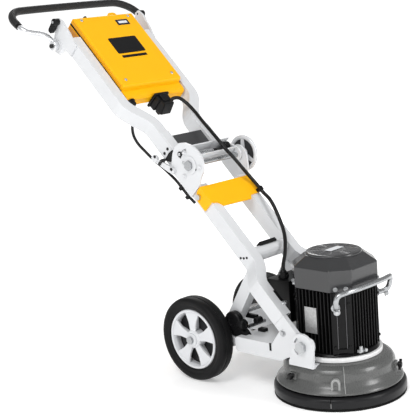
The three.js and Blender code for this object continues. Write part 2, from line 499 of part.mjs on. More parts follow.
function fanCowl() {
  const sides = 24, { half, corner, z1, top } = MOTOR;
  const outer = lofted([ringAt(z1 + 0.4, half + 2, corner + 1, 0, 0, sides), ringAt(334, half + 2, corner + 1, 0, 0, sides),
    ringAt(339, half - 1, corner - 2, 0, 0, sides), ringAt(top - 8, 78, 82, 74, 0.75, sides),
    ringAt(top - 7, 72, 72, 71, 1, sides), ringAt(top, 72, 72, 69, 1, sides)]);
  const inner = lofted([ringAt(z1 - 1, half - 1, corner - 2, 0, 0, sides), ringAt(333, half - 1, corner - 2, 0, 0, sides),
    ringAt(337, half - 4, corner - 5, 0, 0, sides), ringAt(top - 11, 75, 79, 71, 0.75, sides)]);
  const vents = Array.from({ length: 8 }, (_, i) => turnedZ(box(34, 62, -3, 3, top - 14, top + 2), i * Math.PI / 4));
  return cut(outer, inner, vents);
}
piece('fan_cowl', fanCowl(), 'cowl');

const terminal = { x0: -178, x1: -106, half: 55, z0: 172, z1: 280 };
const leadGland = { x: -140, y: -34 };
const gland = cut(union(rodZ(leadGland.x, leadGland.y, terminal.z1 - 1, 296, 13, 6)),
  rodZ(leadGland.x, leadGland.y, 270, 300, 5.3, 12));
piece('terminal_box', cut(union(gland,
  box(terminal.x0 + 10, terminal.x1, -terminal.half, terminal.half, terminal.z0, terminal.z1),
  box(terminal.x1 - 1, -80, -34, 34, 196, 256)),
box(terminal.x0 + 6, terminal.x1 - 5, -terminal.half + 5, terminal.half - 5, terminal.z0 + 5, terminal.z1 - 5),
box(-MOTOR.half - 0.4, 0, -60, 60, 150, 300), rodZ(leadGland.x, leadGland.y, 270, 300, 5.3, 12)), 'black');
piece('terminal_lid', union(box(terminal.x0, terminal.x0 + 9.6, -terminal.half, terminal.half, terminal.z0, terminal.z1),
  box(terminal.x0 - 3, terminal.x0 + 1, -terminal.half + 8, terminal.half - 8, terminal.z0 + 8, terminal.z1 - 8)), 'black');

const liftHalf = [[66.5, -84, 244], [74, -94, 244.5], [83, -106, 252], [87, -111, 268], [91, -107, 281],
  [103, -87, 288], [111, -50, 290]];
const liftPath = [...liftHalf, ...liftHalf.slice().reverse().map(([x, y, z]) => [x, -y, z])]
  .map(([x, y, z]) => new THREE.Vector3(x, y, z));
piece('lift_handle', swept(liftPath, 7, 26, 8), 'steel');

function headBracket() {
  const y0 = -LEG_OUT - 7, y1 = -LEG_OUT - GAP;
  const outline = [[-48, 96], [28, 96], [30, 140], ...arcPoints(TILT.x, TILT.z, 34, 0, 180, 9), [-40, 140]];
  const slots = [120, 200].map((from) => slab([...arcPoints(TILT.x, TILT.z, 26, from, from + 40, 5),
    ...arcPoints(TILT.x, TILT.z, 20, from + 40, from, 5)], y0 - 2, y1 + 2));
  const foot = box(-48, 28, y0, -112, 96, 108.5);
  const keepOut = spun([[0, 60], [142.6, 60], [142.6, 66], [141.6, 84.3], [135.3, 94.5], [124.1, 101.5], [111.4, 104.5],
    [111.4, 118], [0, 118]], SIDES);
  return cut(union(slab(outline, y0, y1), foot), keepOut, slots, slab([[-60, 104], [40, 104], [40, 140], [-60, 140]],
    -LEG_OUT + 0.4, -104), rodY(TILT.x, TILT.z, y0 - 2, y1 + 2, TILT.r + GAP));
}
piece('head_bracket_R', headBracket(), 'white');
piece('head_bracket_L', mirrorY(headBracket()), 'white');
const tiltBolt = union(rodY(TILT.x, TILT.z, -LEG_OUT - 17, -LEG_OUT + RAIL_W - 6, TILT.r, 20),
  boltHead(new THREE.Vector3(TILT.x, -LEG_OUT - 7.4, TILT.z), RIGHT, 15, 9));
piece('tilt_bolt_R', tiltBolt, 'steel');
piece('tilt_bolt_L', mirrorY(tiltBolt), 'steel');

// ---- motor inside ----
piece('stator', cut(union(spun([[47, 150], [70.6, 150], [70.6, 244], [47, 244]], 24),
  spun([[50, 134], [66, 134], [66, 151], [50, 151]], 24), spun([[50, 243], [66, 243], [66, 258], [50, 258]], 24))), 'copper');
piece('bearing_lower', spun([[14.4, 106], [28, 106], [28, 120], [14.4, 120]], 20), 'steel');
piece('bearing_upper', spun([[14.4, 264], [28, 264], [28, 278], [14.4, 278]], 20), 'steel');
piece('rotor_shaft', union(spun([[0, 25], [14, 25], [14, 322], [0, 322]], 20),
  spun([[0, 150], [45, 150], [45, 244], [0, 244]], 20)), 'steel');
piece('cooling_fan', cut(union(spun([[14.4, 292], [24, 292], [24, 316], [14.4, 316]], 16),
  spun([[20, 292], [72, 292], [72, 295], [20, 295]], 20),
  Array.from({ length: 7 }, (_, i) => turnedZ(box(23, 71, -1.5, 1.5, 294, 316), i * 2 * Math.PI / 7)))), 'black');
piece('disc_plate', union(spun([[0, 12], [DISC_R, 12], [DISC_R, 20], [0, 20]], 32),
  spun([[14.4, 19], [34, 19], [34, 44], [14.4, 44]], 20)), 'steel');
piece('diamond_tools', union(spun([[90, 8.5], [136, 8.5], [136, 11.6], [90, 11.6]], 28),
  Array.from({ length: 9 }, (_, i) => turnedZ(box(96, 132, -11, 11, 1, 10), i * 2 * Math.PI / 9))), 'diamond');

// ---- floating skirt ----
piece('skirt', spun([[150, 28], [158, 28], [163, 22], [163, 0.5], [SKIRT_R, 0.5], [SKIRT_R, 25], [165, 31],
  [158, 33.4], [150, 33.4]], SIDES), 'rubber');

// ---- leads ----
const leadPoint = (x, y, z) => new THREE.Vector3(x, y, z);
const motorLeadUpper = [at(914, 32, 31), at(917, 42, 41), at(910, 50, 53), at(889, 53, 62), at(850, 58, 63),
  at(806, 68, 52), at(762, 80, 40), at(720, 90, 30), at(681, 92, 29), at(650, 86, 41), at(620, 72, 61), at(596, 60, 79),
  at(575, 55.2, 87), at(558, 55.2, 88)];
const motorLeadLower = [at(557.4, 55.2, 88), at(545, 55.4, 88), at(515, 62, 84), leadPoint(-245, 74, 425),
  leadPoint(-203, 52, 374), leadPoint(-168, 10, 335), leadPoint(-147, -24, 314), leadPoint(leadGland.x, leadGland.y, 304),
  leadPoint(leadGland.x, leadGland.y, 297)];
piece('motor_lead_upper', swept(motorLeadUpper, 5, 28, 8), 'black');
piece('motor_lead_lower', swept(motorLeadLower, 5, 20, 8), 'black');
const bondLead = [at(924.4, glandAt.n, glandAt.y), at(920, 25.6, -95.6), at(914, 12, -90), at(908, -10, -82),
  at(902, -36, -79), at(885, -50, -79), at(859, -54, -80), at(821, -49, -80), at(783, -42, -80), at(750, -32, -81),
  at(717, -24, -82), at(690, -19, -83), at(662, -17, -84), at(636, -16, -84), at(606, -12, -84)];
piece('bond_lead', swept(bondLead, 4, 26, 8), 'black');
const clip = cut(union(rod(at(553, 55.2, 88), at(563, 55.2, 88), 8, 12), slabSN([[553, RAIL_D + 4.8], [563, RAIL_D + 4.8],
  [563, 54], [553, 54]], 80, 95)), rod(at(540, 55.2, 88), at(580, 55.2, 88), 5.8, 12));
piece('lead_clip', clip, 'black');

export default grinder;
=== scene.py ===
"""Floor grinder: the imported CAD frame, dressed with detailed pieces and procedural materials."""
import math

import bmesh
import bpy
from mathutils import Matrix, Vector


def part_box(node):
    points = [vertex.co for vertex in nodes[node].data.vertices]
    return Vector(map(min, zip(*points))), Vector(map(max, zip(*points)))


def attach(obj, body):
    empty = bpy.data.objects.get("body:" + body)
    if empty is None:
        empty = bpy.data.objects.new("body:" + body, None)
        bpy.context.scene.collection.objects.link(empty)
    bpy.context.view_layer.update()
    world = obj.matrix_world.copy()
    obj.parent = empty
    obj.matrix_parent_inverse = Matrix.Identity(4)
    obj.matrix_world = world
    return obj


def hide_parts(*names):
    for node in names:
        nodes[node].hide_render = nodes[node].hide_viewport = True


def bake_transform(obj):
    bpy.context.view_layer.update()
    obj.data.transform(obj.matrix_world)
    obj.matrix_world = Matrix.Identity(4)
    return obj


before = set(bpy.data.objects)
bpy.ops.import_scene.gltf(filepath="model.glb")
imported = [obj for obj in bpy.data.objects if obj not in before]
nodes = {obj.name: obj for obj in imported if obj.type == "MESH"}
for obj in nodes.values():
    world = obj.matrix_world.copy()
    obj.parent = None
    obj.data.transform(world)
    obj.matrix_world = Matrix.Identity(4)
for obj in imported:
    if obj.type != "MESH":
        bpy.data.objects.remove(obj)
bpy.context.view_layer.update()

MM = 0.001
_lo, _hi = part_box("rotor_shaft")
HEAD_X = (_lo.x + _hi.x) / 2  # the head axis; the rest of the machine is laid out from it
RAIL_LEVEL = 65  # mm, from the foot of the head axis to the plane of the rails' rear face


def P(x, y, z):
    """A point in mm from the head axis, as metres in the row frame."""
    return Vector((HEAD_X + x * MM, y * MM, z * MM))


def at(s, n, y=0.0):
    """A point s mm up the rails and n mm in front of their rear face."""
    return P((RAIL_LEVEL + n - s) / math.sqrt(2), y, (RAIL_LEVEL + n + s) / math.sqrt(2))


UP_RAIL = Vector((-1, 0, 1)).normalized()
OUT = Vector((1, 0, 1)).normalized()
X, Y, Z = Vector((1, 0, 0)), Vector((0, 1, 0)), Vector((0, 0, 1))
HINGE_S, HINGE_N = 676, 64  # mm, the fold hinge on the rails
RAIL_FACE, PLATE_FACE = -91, -98  # mm, the outer side that small screws sit on, of right rail and hinge plate


def spoke(angle):
    """The outward and the sideways direction at an angle in degrees about the head axis."""
    a = math.radians(angle)
    return Vector((math.cos(a), math.sin(a), 0)), Vector((-math.sin(a), math.cos(a), 0))


def wheel_spoke(angle):
    """The same about an axle along Y, from level towards up."""
    a = math.radians(angle)
    return Vector((math.cos(a), 0, math.sin(a))), Vector((-math.sin(a), 0, math.cos(a)))


# ------------ materials
COAT_ROUGHNESS, ROUGH_DRIFT, RELIEF_DEPTH = 0.15, 0.06, 0.0004  # the last in metres
PALE_EDGE_STARTS, PALE_EDGE_FULL = 0.53, 0.62  # pointiness, which is 0.5 on a flat face


def material(name, colour, rough, metallic=0.0, spread=0.04, grain=350.0, bump=0.08, bump_scale=1200.0,
             coat=0.0, specular=0.5, sheen=0.0, pale_edges=0.0, pale_edge_colour=(0.5, 0.5, 0.5), voronoi=False):
    """A procedural surface: colour and roughness drift, fine relief, and paler sharp edges where asked, which
    on the cowl are a painted highlight.
    """
    m = bpy.data.materials.new(name)
    m.use_nodes = True
    nt = m.node_tree
    bsdf = nt.nodes["Principled BSDF"]
    bsdf.inputs["Metallic"].default_value = metallic
    bsdf.inputs["Coat Weight"].default_value = coat
    bsdf.inputs["Coat Roughness"].default_value = COAT_ROUGHNESS
    bsdf.inputs["Specular IOR Level"].default_value = specular
    bsdf.inputs["Sheen Weight"].default_value = sheen
    place = nt.nodes.new("ShaderNodeTexCoord").outputs["Object"]

    def noise(scale, detail=3.0):
        n = nt.nodes.new("ShaderNodeTexNoise")
        n.inputs["Scale"].default_value = scale
        n.inputs["Detail"].default_value = detail
        nt.links.new(place, n.inputs["Vector"])
        return n

    drift = noise(grain * 0.05)
    fine = noise(grain)
    mix = nt.nodes.new("ShaderNodeMixRGB")
    dark = [max(0.0, c * (1 - spread)) for c in colour]
    light = [min(1.0, c * (1 + spread) + spread * 0.02) for c in colour]
    mix.inputs["Color1"].default_value = (*dark, 1)
    mix.inputs["Color2"].default_value = (*light, 1)
    nt.links.new(drift.outputs["Fac"], mix.inputs["Fac"])
    last = mix
    if pale_edges:
        geometry = nt.nodes.new("ShaderNodeNewGeometry")
        ramp = nt.nodes.new("ShaderNodeValToRGB")
        ramp.color_ramp.elements[0].position = PALE_EDGE_STARTS
        ramp.color_ramp.elements[1].position = PALE_EDGE_FULL
        nt.links.new(geometry.outputs["Pointiness"], ramp.inputs["Fac"])
        amount = nt.nodes.new("ShaderNodeMath")
        amount.operation = "MULTIPLY"
        amount.inputs[1].default_value = pale_edges
        nt.links.new(ramp.outputs["Color"], amount.inputs[0])
        pale_edged = nt.nodes.new("ShaderNodeMixRGB")
        pale_edged.inputs["Color2"].default_value = (*pale_edge_colour, 1)
        nt.links.new(amount.outputs[0], pale_edged.inputs["Fac"])
        nt.links.new(mix.outputs["Color"], pale_edged.inputs["Color1"])
        last = pale_edged
    nt.links.new(last.outputs["Color"], bsdf.inputs["Base Color"])
    ranged = nt.nodes.new("ShaderNodeMapRange")
    ranged.inputs["To Min"].default_value = max(0.02, rough - ROUGH_DRIFT)
    ranged.inputs["To Max"].default_value = min(1.0, rough + ROUGH_DRIFT)
    nt.links.new(fine.outputs["Fac"], ranged.inputs["Value"])
    nt.links.new(ranged.outputs["Result"], bsdf.inputs["Roughness"])
    if bump:
        if voronoi:
            relief = nt.nodes.new("ShaderNodeTexVoronoi")
            relief.inputs["Scale"].default_value = bump_scale
            nt.links.new(place, relief.inputs["Vector"])
            height = relief.outputs["Distance"]
        else:
            height = noise(bump_scale).outputs["Fac"]
        node = nt.nodes.new("ShaderNodeBump")
        node.inputs["Strength"].default_value = bump
        node.inputs["Distance"].default_value = RELIEF_DEPTH
        nt.links.new(height, node.inputs["Height"])
        nt.links.new(node.outputs["Normal"], bsdf.inputs["Normal"])
    return m


WHITE = material("white_powder_coat", (0.67, 0.68, 0.695), 0.34, spread=0.03, bump=0.12, bump_scale=900,
                 coat=0.15)
YELLOW = material("yellow_powder_coat", (0.98, 0.47, 0.002), 0.45, spread=0.03, bump=0.12, bump_scale=900,
                  specular=0.2)
# a darker copy of the yellow paint: painted shade on the tray's sides and in the lid's grooves
SHADED_YELLOW = material("yellow_painted_shade", (0.62, 0.25, 0.02), 0.45, spread=0.05, bump=0.1)
ZINC = material("zinc_tube", (0.74, 0.75, 0.77), 0.26, metallic=0.85, spread=0.05, bump=0.04)
STEEL = material("bright_steel", (0.40, 0.41, 0.42), 0.27, metallic=0.95, spread=0.08, bump=0.05)
BOLT = material("zinc_bolt", (0.50, 0.51, 0.52), 0.32, metallic=0.9, spread=0.12, grain=700, bump=0.08)
BLACK = material("black_plastic", (0.004, 0.004, 0.0045), 0.36, spread=0.2, bump=0.15, bump_scale=1500,
                 specular=0.18)
BLACK_BOLT = material("black_oxide", (0.02, 0.02, 0.021), 0.35, metallic=0.5, spread=0.2)
FOAM = material("foam_grip", (0.007, 0.007, 0.0075), 0.55, spread=0.25, bump=0.35, bump_scale=1400,
                specular=0.35, sheen=0.05, voronoi=True)
TYRE = material("tyre_rubber", (0.006, 0.006, 0.0065), 0.5, spread=0.25, bump=0.2, bump_scale=900,
                specular=0.12)
RIM = material("rim_plastic", (0.70, 0.71, 0.73), 0.40, spread=0.03, bump=0.08)
# dark colour for discs that paint the shade inside the wheels and the handwheel
RIM_DARK = material("rim_shadow", (0.02, 0.02, 0.022), 0.6, spread=0.15)
CASTING = material("bare_casting", (0.34, 0.345, 0.34), 0.35, metallic=0.3, spread=0.1, bump=0.2,
                   bump_scale=700)
SHROUD = material("shroud_grey", (0.088, 0.090, 0.088), 0.28, spread=0.06, bump=0.12, bump_scale=500,
                  coat=0.15, pale_edges=0.25, pale_edge_colour=(0.3, 0.3, 0.3))
SKIRT = material("skirt_rubber", (0.013, 0.013, 0.014), 0.30, spread=0.15, bump=0.15, specular=0.2)
BRISTLE = material("brush_fibre", (0.004, 0.004, 0.004), 0.8, spread=0.4, grain=2500, bump=0.4, specular=0.15)
MOTOR = material("motor_black", (0.003, 0.003, 0.0033), 0.24, spread=0.2, bump=0.2, bump_scale=800,
                 specular=0.16)
# its paler sharp edges are a painted highlight on the cowl's rounded corners
COWL = material("cowl_charcoal", (0.030, 0.0305, 0.032), 0.22, spread=0.05, bump=0.12, bump_scale=900,
                coat=0.2, pale_edges=0.35, pale_edge_colour=(0.25, 0.25, 0.26))
# paler grey for the rods along the motor's corner pads: a painted highlight on their edges
PAD_EDGE_HIGHLIGHT = material("motor_pad_edge_highlight", (0.10, 0.10, 0.105), 0.22, metallic=0.5, spread=0.3, grain=120, bump=0.05)
BAND = material("band_white", (0.78, 0.78, 0.78), 0.3, spread=0.03)
CABLE = material("cable_rubber", (0.004, 0.004, 0.0045), 0.38, spread=0.2, bump=0.1, specular=0.3)
COPPER = material("winding", (0.45, 0.2, 0.08), 0.4, metallic=0.6, spread=0.15)
DIAMOND = material("diamond_segment", (0.25, 0.24, 0.22), 0.7, metallic=0.4, spread=0.3, grain=2500, bump=0.5)
PLATE = material("name_plate", (0.45, 0.45, 0.45), 0.4, metallic=0.6, spread=0.5, grain=6000, bump=0.1)
DARK = material("dark_grey_steel", (0.045, 0.046, 0.048), 0.42, spread=0.1, bump=0.1)
SCREEN = material("display_dark", (0.006, 0.008, 0.022), 0.15, spread=0.1, bump=0.0)
PALE = material("pale_print", (0.75, 0.77, 0.80), 0.5, spread=0.03)

SLOTS = {
    WHITE: "white_paint", YELLOW: "yellow_paint", SHADED_YELLOW: "yellow_paint", ZINC: "zinc", STEEL: "steel",
    BOLT: "steel", BLACK_BOLT: "steel", PLATE: "steel", BLACK: "black_plastic", SCREEN: "black_plastic",
    FOAM: "foam", TYRE: "tyre", RIM: "rim", RIM_DARK: "rim", CASTING: "shroud_grey", SHROUD: "shroud_grey",
    SKIRT: "skirt_rubber", BRISTLE: "skirt_rubber", MOTOR: "motor_black", PAD_EDGE_HIGHLIGHT: "motor_black", COWL: "cowl",
    BAND: "band_white", PALE: "band_white", CABLE: "cable"}
CAD_LOOKS = {
    WHITE: "lower_rail_R lower_rail_L chassis_pan rear_leg_R rear_leg_L hinge_plate_R hinge_plate_L "
           "axle_carrier fold_latch upper_rail_R upper_rail_L hinge_yoke handle_bracket_R handle_bracket_L "
           "head_bracket_R head_bracket_L lower_cross_tube handwheel",
    YELLOW: "crossbar control_box_base box_lid", ZINC: "handle_tube",
    STEEL: "hinge_shaft lift_handle bearing_lower bearing_upper rotor_shaft disc_plate axle",
    BOLT: "crossbar_bolt tilt_bolt_R tilt_bolt_L",
    BLACK: "box_gasket cable_gland motor_plug power_switch clamp_lever_R clamp_lever_L dust_port "
           "terminal_box terminal_lid cooling_fan lead_clip",
    DARK: "upper_crossmember", FOAM: "handle_grip", TYRE: "tyre_R tyre_L", RIM: "rim_R rim_L",
    SHROUD: "shroud",
    BAND: "band_clamp", MOTOR: "motor_flange motor_body", COWL: "fan_cowl", SKIRT: "skirt",
    CABLE: "motor_lead_upper motor_lead_lower bond_lead", COPPER: "stator", DIAMOND: "diamond_tools"}
for look, names in CAD_LOOKS.items():
    for name in names.split():
        nodes[name].data.materials.clear()
        nodes[name].data.materials.append(look)


# ------------ mesh tools
def finish_mesh(name, bm, look, body, replaces=(), sharp=35, bevel=0.0, segments=2, slot=None):
    """Turns a bmesh into a piece that rides on a body."""
    bmesh.ops.remove_doubles(bm, verts=bm.verts, dist=1e-6)
    bmesh.ops.recalc_face_normals(bm, faces=bm.faces)
    mesh = bpy.data.meshes.new(name)
    bm.to_mesh(mesh)
    bm.free()
    mesh.shade_smooth()
    if not bevel:
        mesh.set_sharp_from_angle(angle=math.radians(sharp))
    piece = bpy.data.objects.new(name, mesh)
    bpy.context.scene.collection.objects.link(piece)
    mesh.materials.append(look)
    if bevel:
        mod = piece.modifiers.new("edges", "BEVEL")
        mod.width = bevel * MM
        mod.segments = segments
        mod.limit_method = "ANGLE"
        mod.angle_limit = math.radians(28)
        mod.harden_normals = True
    if body:
        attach(piece, body)
    slot or SLOTS[look]
    if replaces:
        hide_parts(*replaces)
    return piece


def softened(points, radius, steps=3, closed=False):
    """The same 2-D outline with its corners rounded."""
    out, count = [], len(points)
    pts = [Vector((*p, 0)) for p in points]
    for i, p in enumerate(pts):
        if not closed and i in (0, count - 1):
            out.append((p.x, p.y))
            continue
        a, b = pts[i - 1] - p, pts[(i + 1) % count] - p
        cutback = min(radius, a.length * 0.45, b.length * 0.45)
        if cutback < 1e-6:
            out.append((p.x, p.y))
            continue
        start, end = p + a.normalized() * cutback, p + b.normalized() * cutback
        for k in range(steps + 1):
            t = k / steps
            q = start * (1 - t) ** 2 + p * (2 * t * (1 - t)) + end * t * t
            out.append((q.x, q.y))
    return out


def lathe(bm, profile, centre=None, axis="Z", segments=96, start=0.0, sweep=360.0):
    """Closed profile [(r, h)] in mm turned round a vertical or a cross axis through centre."""
    centre = centre if centre is not None else P(0, 0, 0)
    full = sweep >= 360
    rings = []
    for i in range(segments if full else segments + 1):
        a = math.radians(start + sweep * i / segments)
        ring = []
        for r, h in profile:
            c, s = r * MM * math.cos(a), r * MM * math.sin(a)
            turn = Vector((c, s, h * MM)) if axis == "Z" else Vector((c, h * MM, s))
            ring.append(bm.verts.new(centre + turn))
        rings.append(ring)
    n, count = len(profile), len(rings)
    for i in range(count if full else count - 1):
        a, b = rings[i], rings[(i + 1) % count]
        for k in range(n):
            quad = [a[k], a[(k + 1) % n], b[(k + 1) % n], b[k]]
            if len({tuple(round(c, 7) for c in v.co) for v in quad}) == 4:
                bm.faces.new(quad)
            else:
                tri, seen = [], set()
                for v in quad:
                    key = tuple(round(c, 7) for c in v.co)
                    if key not in seen:
                        seen.add(key)
                        tri.append(v)
                if len(tri) == 3:
                    bm.faces.new(tri)
    if not full:
        bm.faces.new(rings[0])
        bm.faces.new(list(reversed(rings[-1])))


def skin(bm, low, high):
    """The faces between two rings of as many points."""
    for i in range(len(low)):
        j = (i + 1) % len(low)
        bm.faces.new([low[i], low[j], high[j], high[i]])


def prism(bm, outline, origin, u, v, w, depth):
    """Outline [(a, b)] in mm in the plane of u and v at origin, pushed along w by depth mm."""
    low = [bm.verts.new(origin + u * a * MM + v * b * MM) for a, b in outline]
    high = [bm.verts.new(q.co + w * depth * MM) for q in low]
    bm.faces.new(low)
    bm.faces.new(list(reversed(high)))
    skin(bm, low, high)


def block(bm, centre, size, u=X, v=Y, w=Z):
    a, b, c = (k / 2 for k in size)
    prism(bm, [(-a, -b), (a, -b), (a, b), (-a, b)], centre - w * c * MM, u, v, w, 2 * c)


def circle(radius, sides, turn=0.0):
    angles = [turn + 2 * math.pi * i / sides for i in range(sides)]
    return [(radius * math.cos(a), radius * math.sin(a)) for a in angles]


def across(axis):
    """Two directions square to an axis."""
    u = axis.orthogonal().normalized()
    return u, axis.cross(u).normalized()


def turned(bm, profile, centre, axis, segments=48):
    """Profile [(r, h)] in mm turned round any axis through centre; a zero radius closes an end."""
    u, v = across(axis)
    rings = []
    for r, h in profile:
        if r == 0:
            rings.append([bm.verts.new(centre + axis * h * MM)])
        else:
            rings.append([bm.verts.new(centre + axis * h * MM + (u * a + v * b) * MM)
                          for a, b in circle(r, segments)])
    for low, high in zip(rings, rings[1:]):
        if len(low) == len(high):
            skin(bm, low, high)
            continue
        for i in range(segments):
            j = (i + 1) % segments
            bm.faces.new([low[0], high[j], high[i]] if len(low) == 1 else [low[i], low[j], high[0]])
    for end in (rings[0], rings[-1]):
        if len(end) > 2:
            bm.faces.new(end)


def spline(points, samples=10):
    """Centripetal Catmull-Rom through the points."""
    pts = [2 * points[0] - points[1], *points, 2 * points[-1] - points[-2]]
    out = []
    for i in range(1, len(pts) - 2):
        p0, p1, p2, p3 = pts[i - 1:i + 3]
        t0, t1 = 0.0, max(1e-6, (p1 - p0).length ** 0.5)
        t2 = t1 + max(1e-6, (p2 - p1).length ** 0.5)
        t3 = t2 + max(1e-6, (p3 - p2).length ** 0.5)
        for k in range(samples):
            t = t1 + (t2 - t1) * k / samples
            a1 = p0 * ((t1 - t) / (t1 - t0)) + p1 * ((t - t0) / (t1 - t0))
            a2 = p1 * ((t2 - t) / (t2 - t1)) + p2 * ((t - t1) / (t2 - t1))
            a3 = p2 * ((t3 - t) / (t3 - t2)) + p3 * ((t - t2) / (t3 - t2))
            b1 = a1 * ((t2 - t) / (t2 - t0)) + a2 * ((t - t0) / (t2 - t0))
            b2 = a2 * ((t3 - t) / (t3 - t1)) + a3 * ((t - t1) / (t3 - t1))
            out.append(b1 * ((t2 - t) / (t2 - t1)) + b2 * ((t - t1) / (t2 - t1)))
    out.append(points[-1].copy())
    return out


def tube(bm, path, radius, sides, radius_at=None):
    """Round tube along a path in metres; radius in mm, or given along the path from 0 to 1."""
    rings, u = [], None
    for i, p in enumerate(path):
        ahead = path[min(i + 1, len(path) - 1)] - path[max(i - 1, 0)]
        t = ahead.normalized()
        u = t.orthogonal().normalized() if u is None else (u - t * u.dot(t)).normalized()
        v = t.cross(u)
        r = radius_at(i / (len(path) - 1)) if radius_at else radius
        rings.append([bm.verts.new(p + (u * a + v * b) * MM) for a, b in circle(r, sides)])
    for low, high in zip(rings, rings[1:]):
        skin(bm, low, high)
    bm.faces.new(list(reversed(rings[0])))
    bm.faces.new(rings[-1])


def mirrored(points):
    return [Vector((p.x, -p.y, p.z)) for p in points]


def hex_bolt(bm, centre, axis, across_flats=8.0, height=5.0, washer=0.0):
    """Bolt head with its chamfer, on a washer where asked."""
    r = across_flats / math.sqrt(3)
    u, v = across(axis)
    base = centre
    if washer:
        turned(bm, [(washer, 0), (washer, 1.0), (washer - 0.5, 1.5), (0, 1.5)], centre, axis, 32)
        base = centre + axis * 1.5 * MM
    prism(bm, circle(r, 6), base, u, v, axis, height * 0.8)
    turned(bm, [(r * 0.93, height * 0.78), (r * 0.8, height), (0, height)], base, axis, 24)


def disc_screw(bm, centre, axis, radius=4.0, height=2.4):
    """Pan head with a drive recess."""
    turned(bm, [(radius, 0), (radius, height * 0.45), (radius * 0.8, height * 0.85), (radius * 0.45, height),
                (radius * 0.42, height * 0.55), (0, height * 0.5)], centre, axis, 28)


def new():
    return bmesh.new()


# ------------ grinding head
def shroud():
    bm = new()
    outer = [(52, 104), (111, 104), (124, 101), (135, 94), (141, 84), (142, 66), (149, 54), (160, 43),
             (161.5, 38), (157, 38), (146, 49), (138, 62), (137, 82), (130, 91), (120, 97), (52, 98.5)]
    lathe(bm, softened(outer, 3.2, 3), segments=144)
    finish_mesh("shroud_shell", bm, SHROUD, "head", ["shroud"], sharp=50)


def shroud_details():
    """Two cast bosses, the mould seams beside them, and the two wing knobs that hold the guard."""
    profile = [(125, 101), (135.4, 94.4), (141.4, 84), (142.4, 66), (149.4, 54.3), (160, 43.4)]
    bm = new()
    for angle in (-47.5, 132.5):
        raised = [(r + 0.9, z + 0.5) for r, z in profile]
        sunk = [(r - 1.5, z - 1) for r, z in reversed(profile)]
        lathe(bm, raised + sunk, segments=2, start=angle - 0.35, sweep=0.7)
    finish_mesh("shroud_seam", bm, CASTING, "head", bevel=0.3)
    bm, pad = new(), new()
    half, low, shoulder = 11.5, 48, 67
    for angle in (-56, 124):
        radial, tangent = spoke(angle)
        arch = [math.pi * k / 8 for k in range(7, 0, -1)]
        outline = [(-half, low), (-half, shoulder),
                   *[(half * math.cos(t), shoulder + half * math.sin(t)) for t in arch],
                   (half, shoulder), (half, low)]
        inner = [(x * 0.55, 52 + (z - 50) * 0.72) for x, z in outline]
        prism(bm, outline, P(0, 0, 0) + radial * 138 * MM, tangent, Z, radial, 14.5)
        prism(pad, inner, P(0, 0, 0) + radial * 152 * MM, tangent, Z, radial, 2.6)
        turned(pad, [(3.4, 0), (3.4, 5), (2.6, 5.8), (0, 5.8)], P(0, 0, 58) + radial * 152 * MM, radial, 20)
    finish_mesh("shroud_boss", bm, CASTING, "head", bevel=1.6, segments=3)
    finish_mesh("shroud_boss_pad", pad, SHROUD, "head", bevel=0.7)
    for name, angle in (("knob_near", -104), ("knob_far", 26)):
        radial, tangent = spoke(angle)
        wing = (tangent * 0.8 + Z * 0.6).normalized()
        centre = P(0, 0, 70) + radial * 141 * MM
        bm = new()
        block(bm, centre + radial * 3 * MM, (6, 24, 16), radial, tangent, Z)
        turned(bm, [(4.2, 0), (4.2, 12), (0, 12)], centre, radial, 20)
        finish_mesh("guard_" + name + "_base", bm, SHROUD, "head", bevel=0.8)
        bm = new()
        turned(bm, [(7, 0), (8.2, 2), (8.2, 8), (6.5, 10.5), (0, 11)], centre + radial * 8 * MM, radial, 28)
        for side in (-1, 1):
            block(bm, centre + radial * 13.5 * MM + wing * side * 10 * MM, (7, 11, 4.5), radial, wing,
                  radial.cross(wing))
        finish_mesh("guard_" + name, bm, BLACK, "head", bevel=0.9)


def skirt():
    bm = new()
    rim_profile = [(150, 28), (158, 28), (162.5, 22), (162.8, 7), (168, 7), (168.6, 12), (168.6, 24),
                   (166, 30), (158, 33), (150, 33.2)]
    for start in (-60.3, 119.7):
        lathe(bm, softened(rim_profile, 2.4, 3), segments=72, start=start + 0.35, sweep=179.3)
    finish_mesh("skirt_band", bm, SKIRT, "floating_skirt", ["skirt"], sharp=45)
    bm = new()
    lathe(bm, [(162.9, 0.6), (166.4, 0.6), (166.6, 7.5), (162.9, 7.5)], segments=144)
    tufts = 190
    for i in range(tufts):
        a = 2 * math.pi * i / tufts
        lean = 0.10 * math.sin(i * 12.9898)
        radial = Vector((math.cos(a), math.sin(a), 0))
        tangent = Vector((-math.sin(a), math.cos(a), lean)).normalized()
        foot = P(0, 0, 4.4) + radial * 166.6 * MM
        block(bm, foot, (2.6 + 0.4 * math.sin(i * 7.1), 3.1, 7.4), radial, tangent, radial.cross(tangent))
    finish_mesh("skirt_brush", bm, BRISTLE, "floating_skirt", sharp=30)


def band():
    bm = new()
    lathe(bm, softened([(104, 104.8), (111, 104.8), (111.2, 116.2), (104, 116.2)], 1.2, 3), segments=128)
    finish_mesh("band_ring", bm, BAND, "head", ["band_clamp"], sharp=50)
    bm = new()
    foot = [(60, 104.7), (103.4, 104.7), (103.4, 118), (98.5, 123.8), (60, 123.8)]
    lathe(bm, softened(foot, 2, 3), segments=128)
    finish_mesh("motor_foot_ring", bm, MOTOR, "head", ["motor_flange"], sharp=50)


# mm: half the motor's width over its fins and over its corner pads, and where motor and cowl begin
MOTOR_HALF, MOTOR_CORNER, MOTOR_LOW, COWL_LOW = 91, 102.5, 124.3, 280
CORNER_ANGLES = (-45, 45, 135, 225)


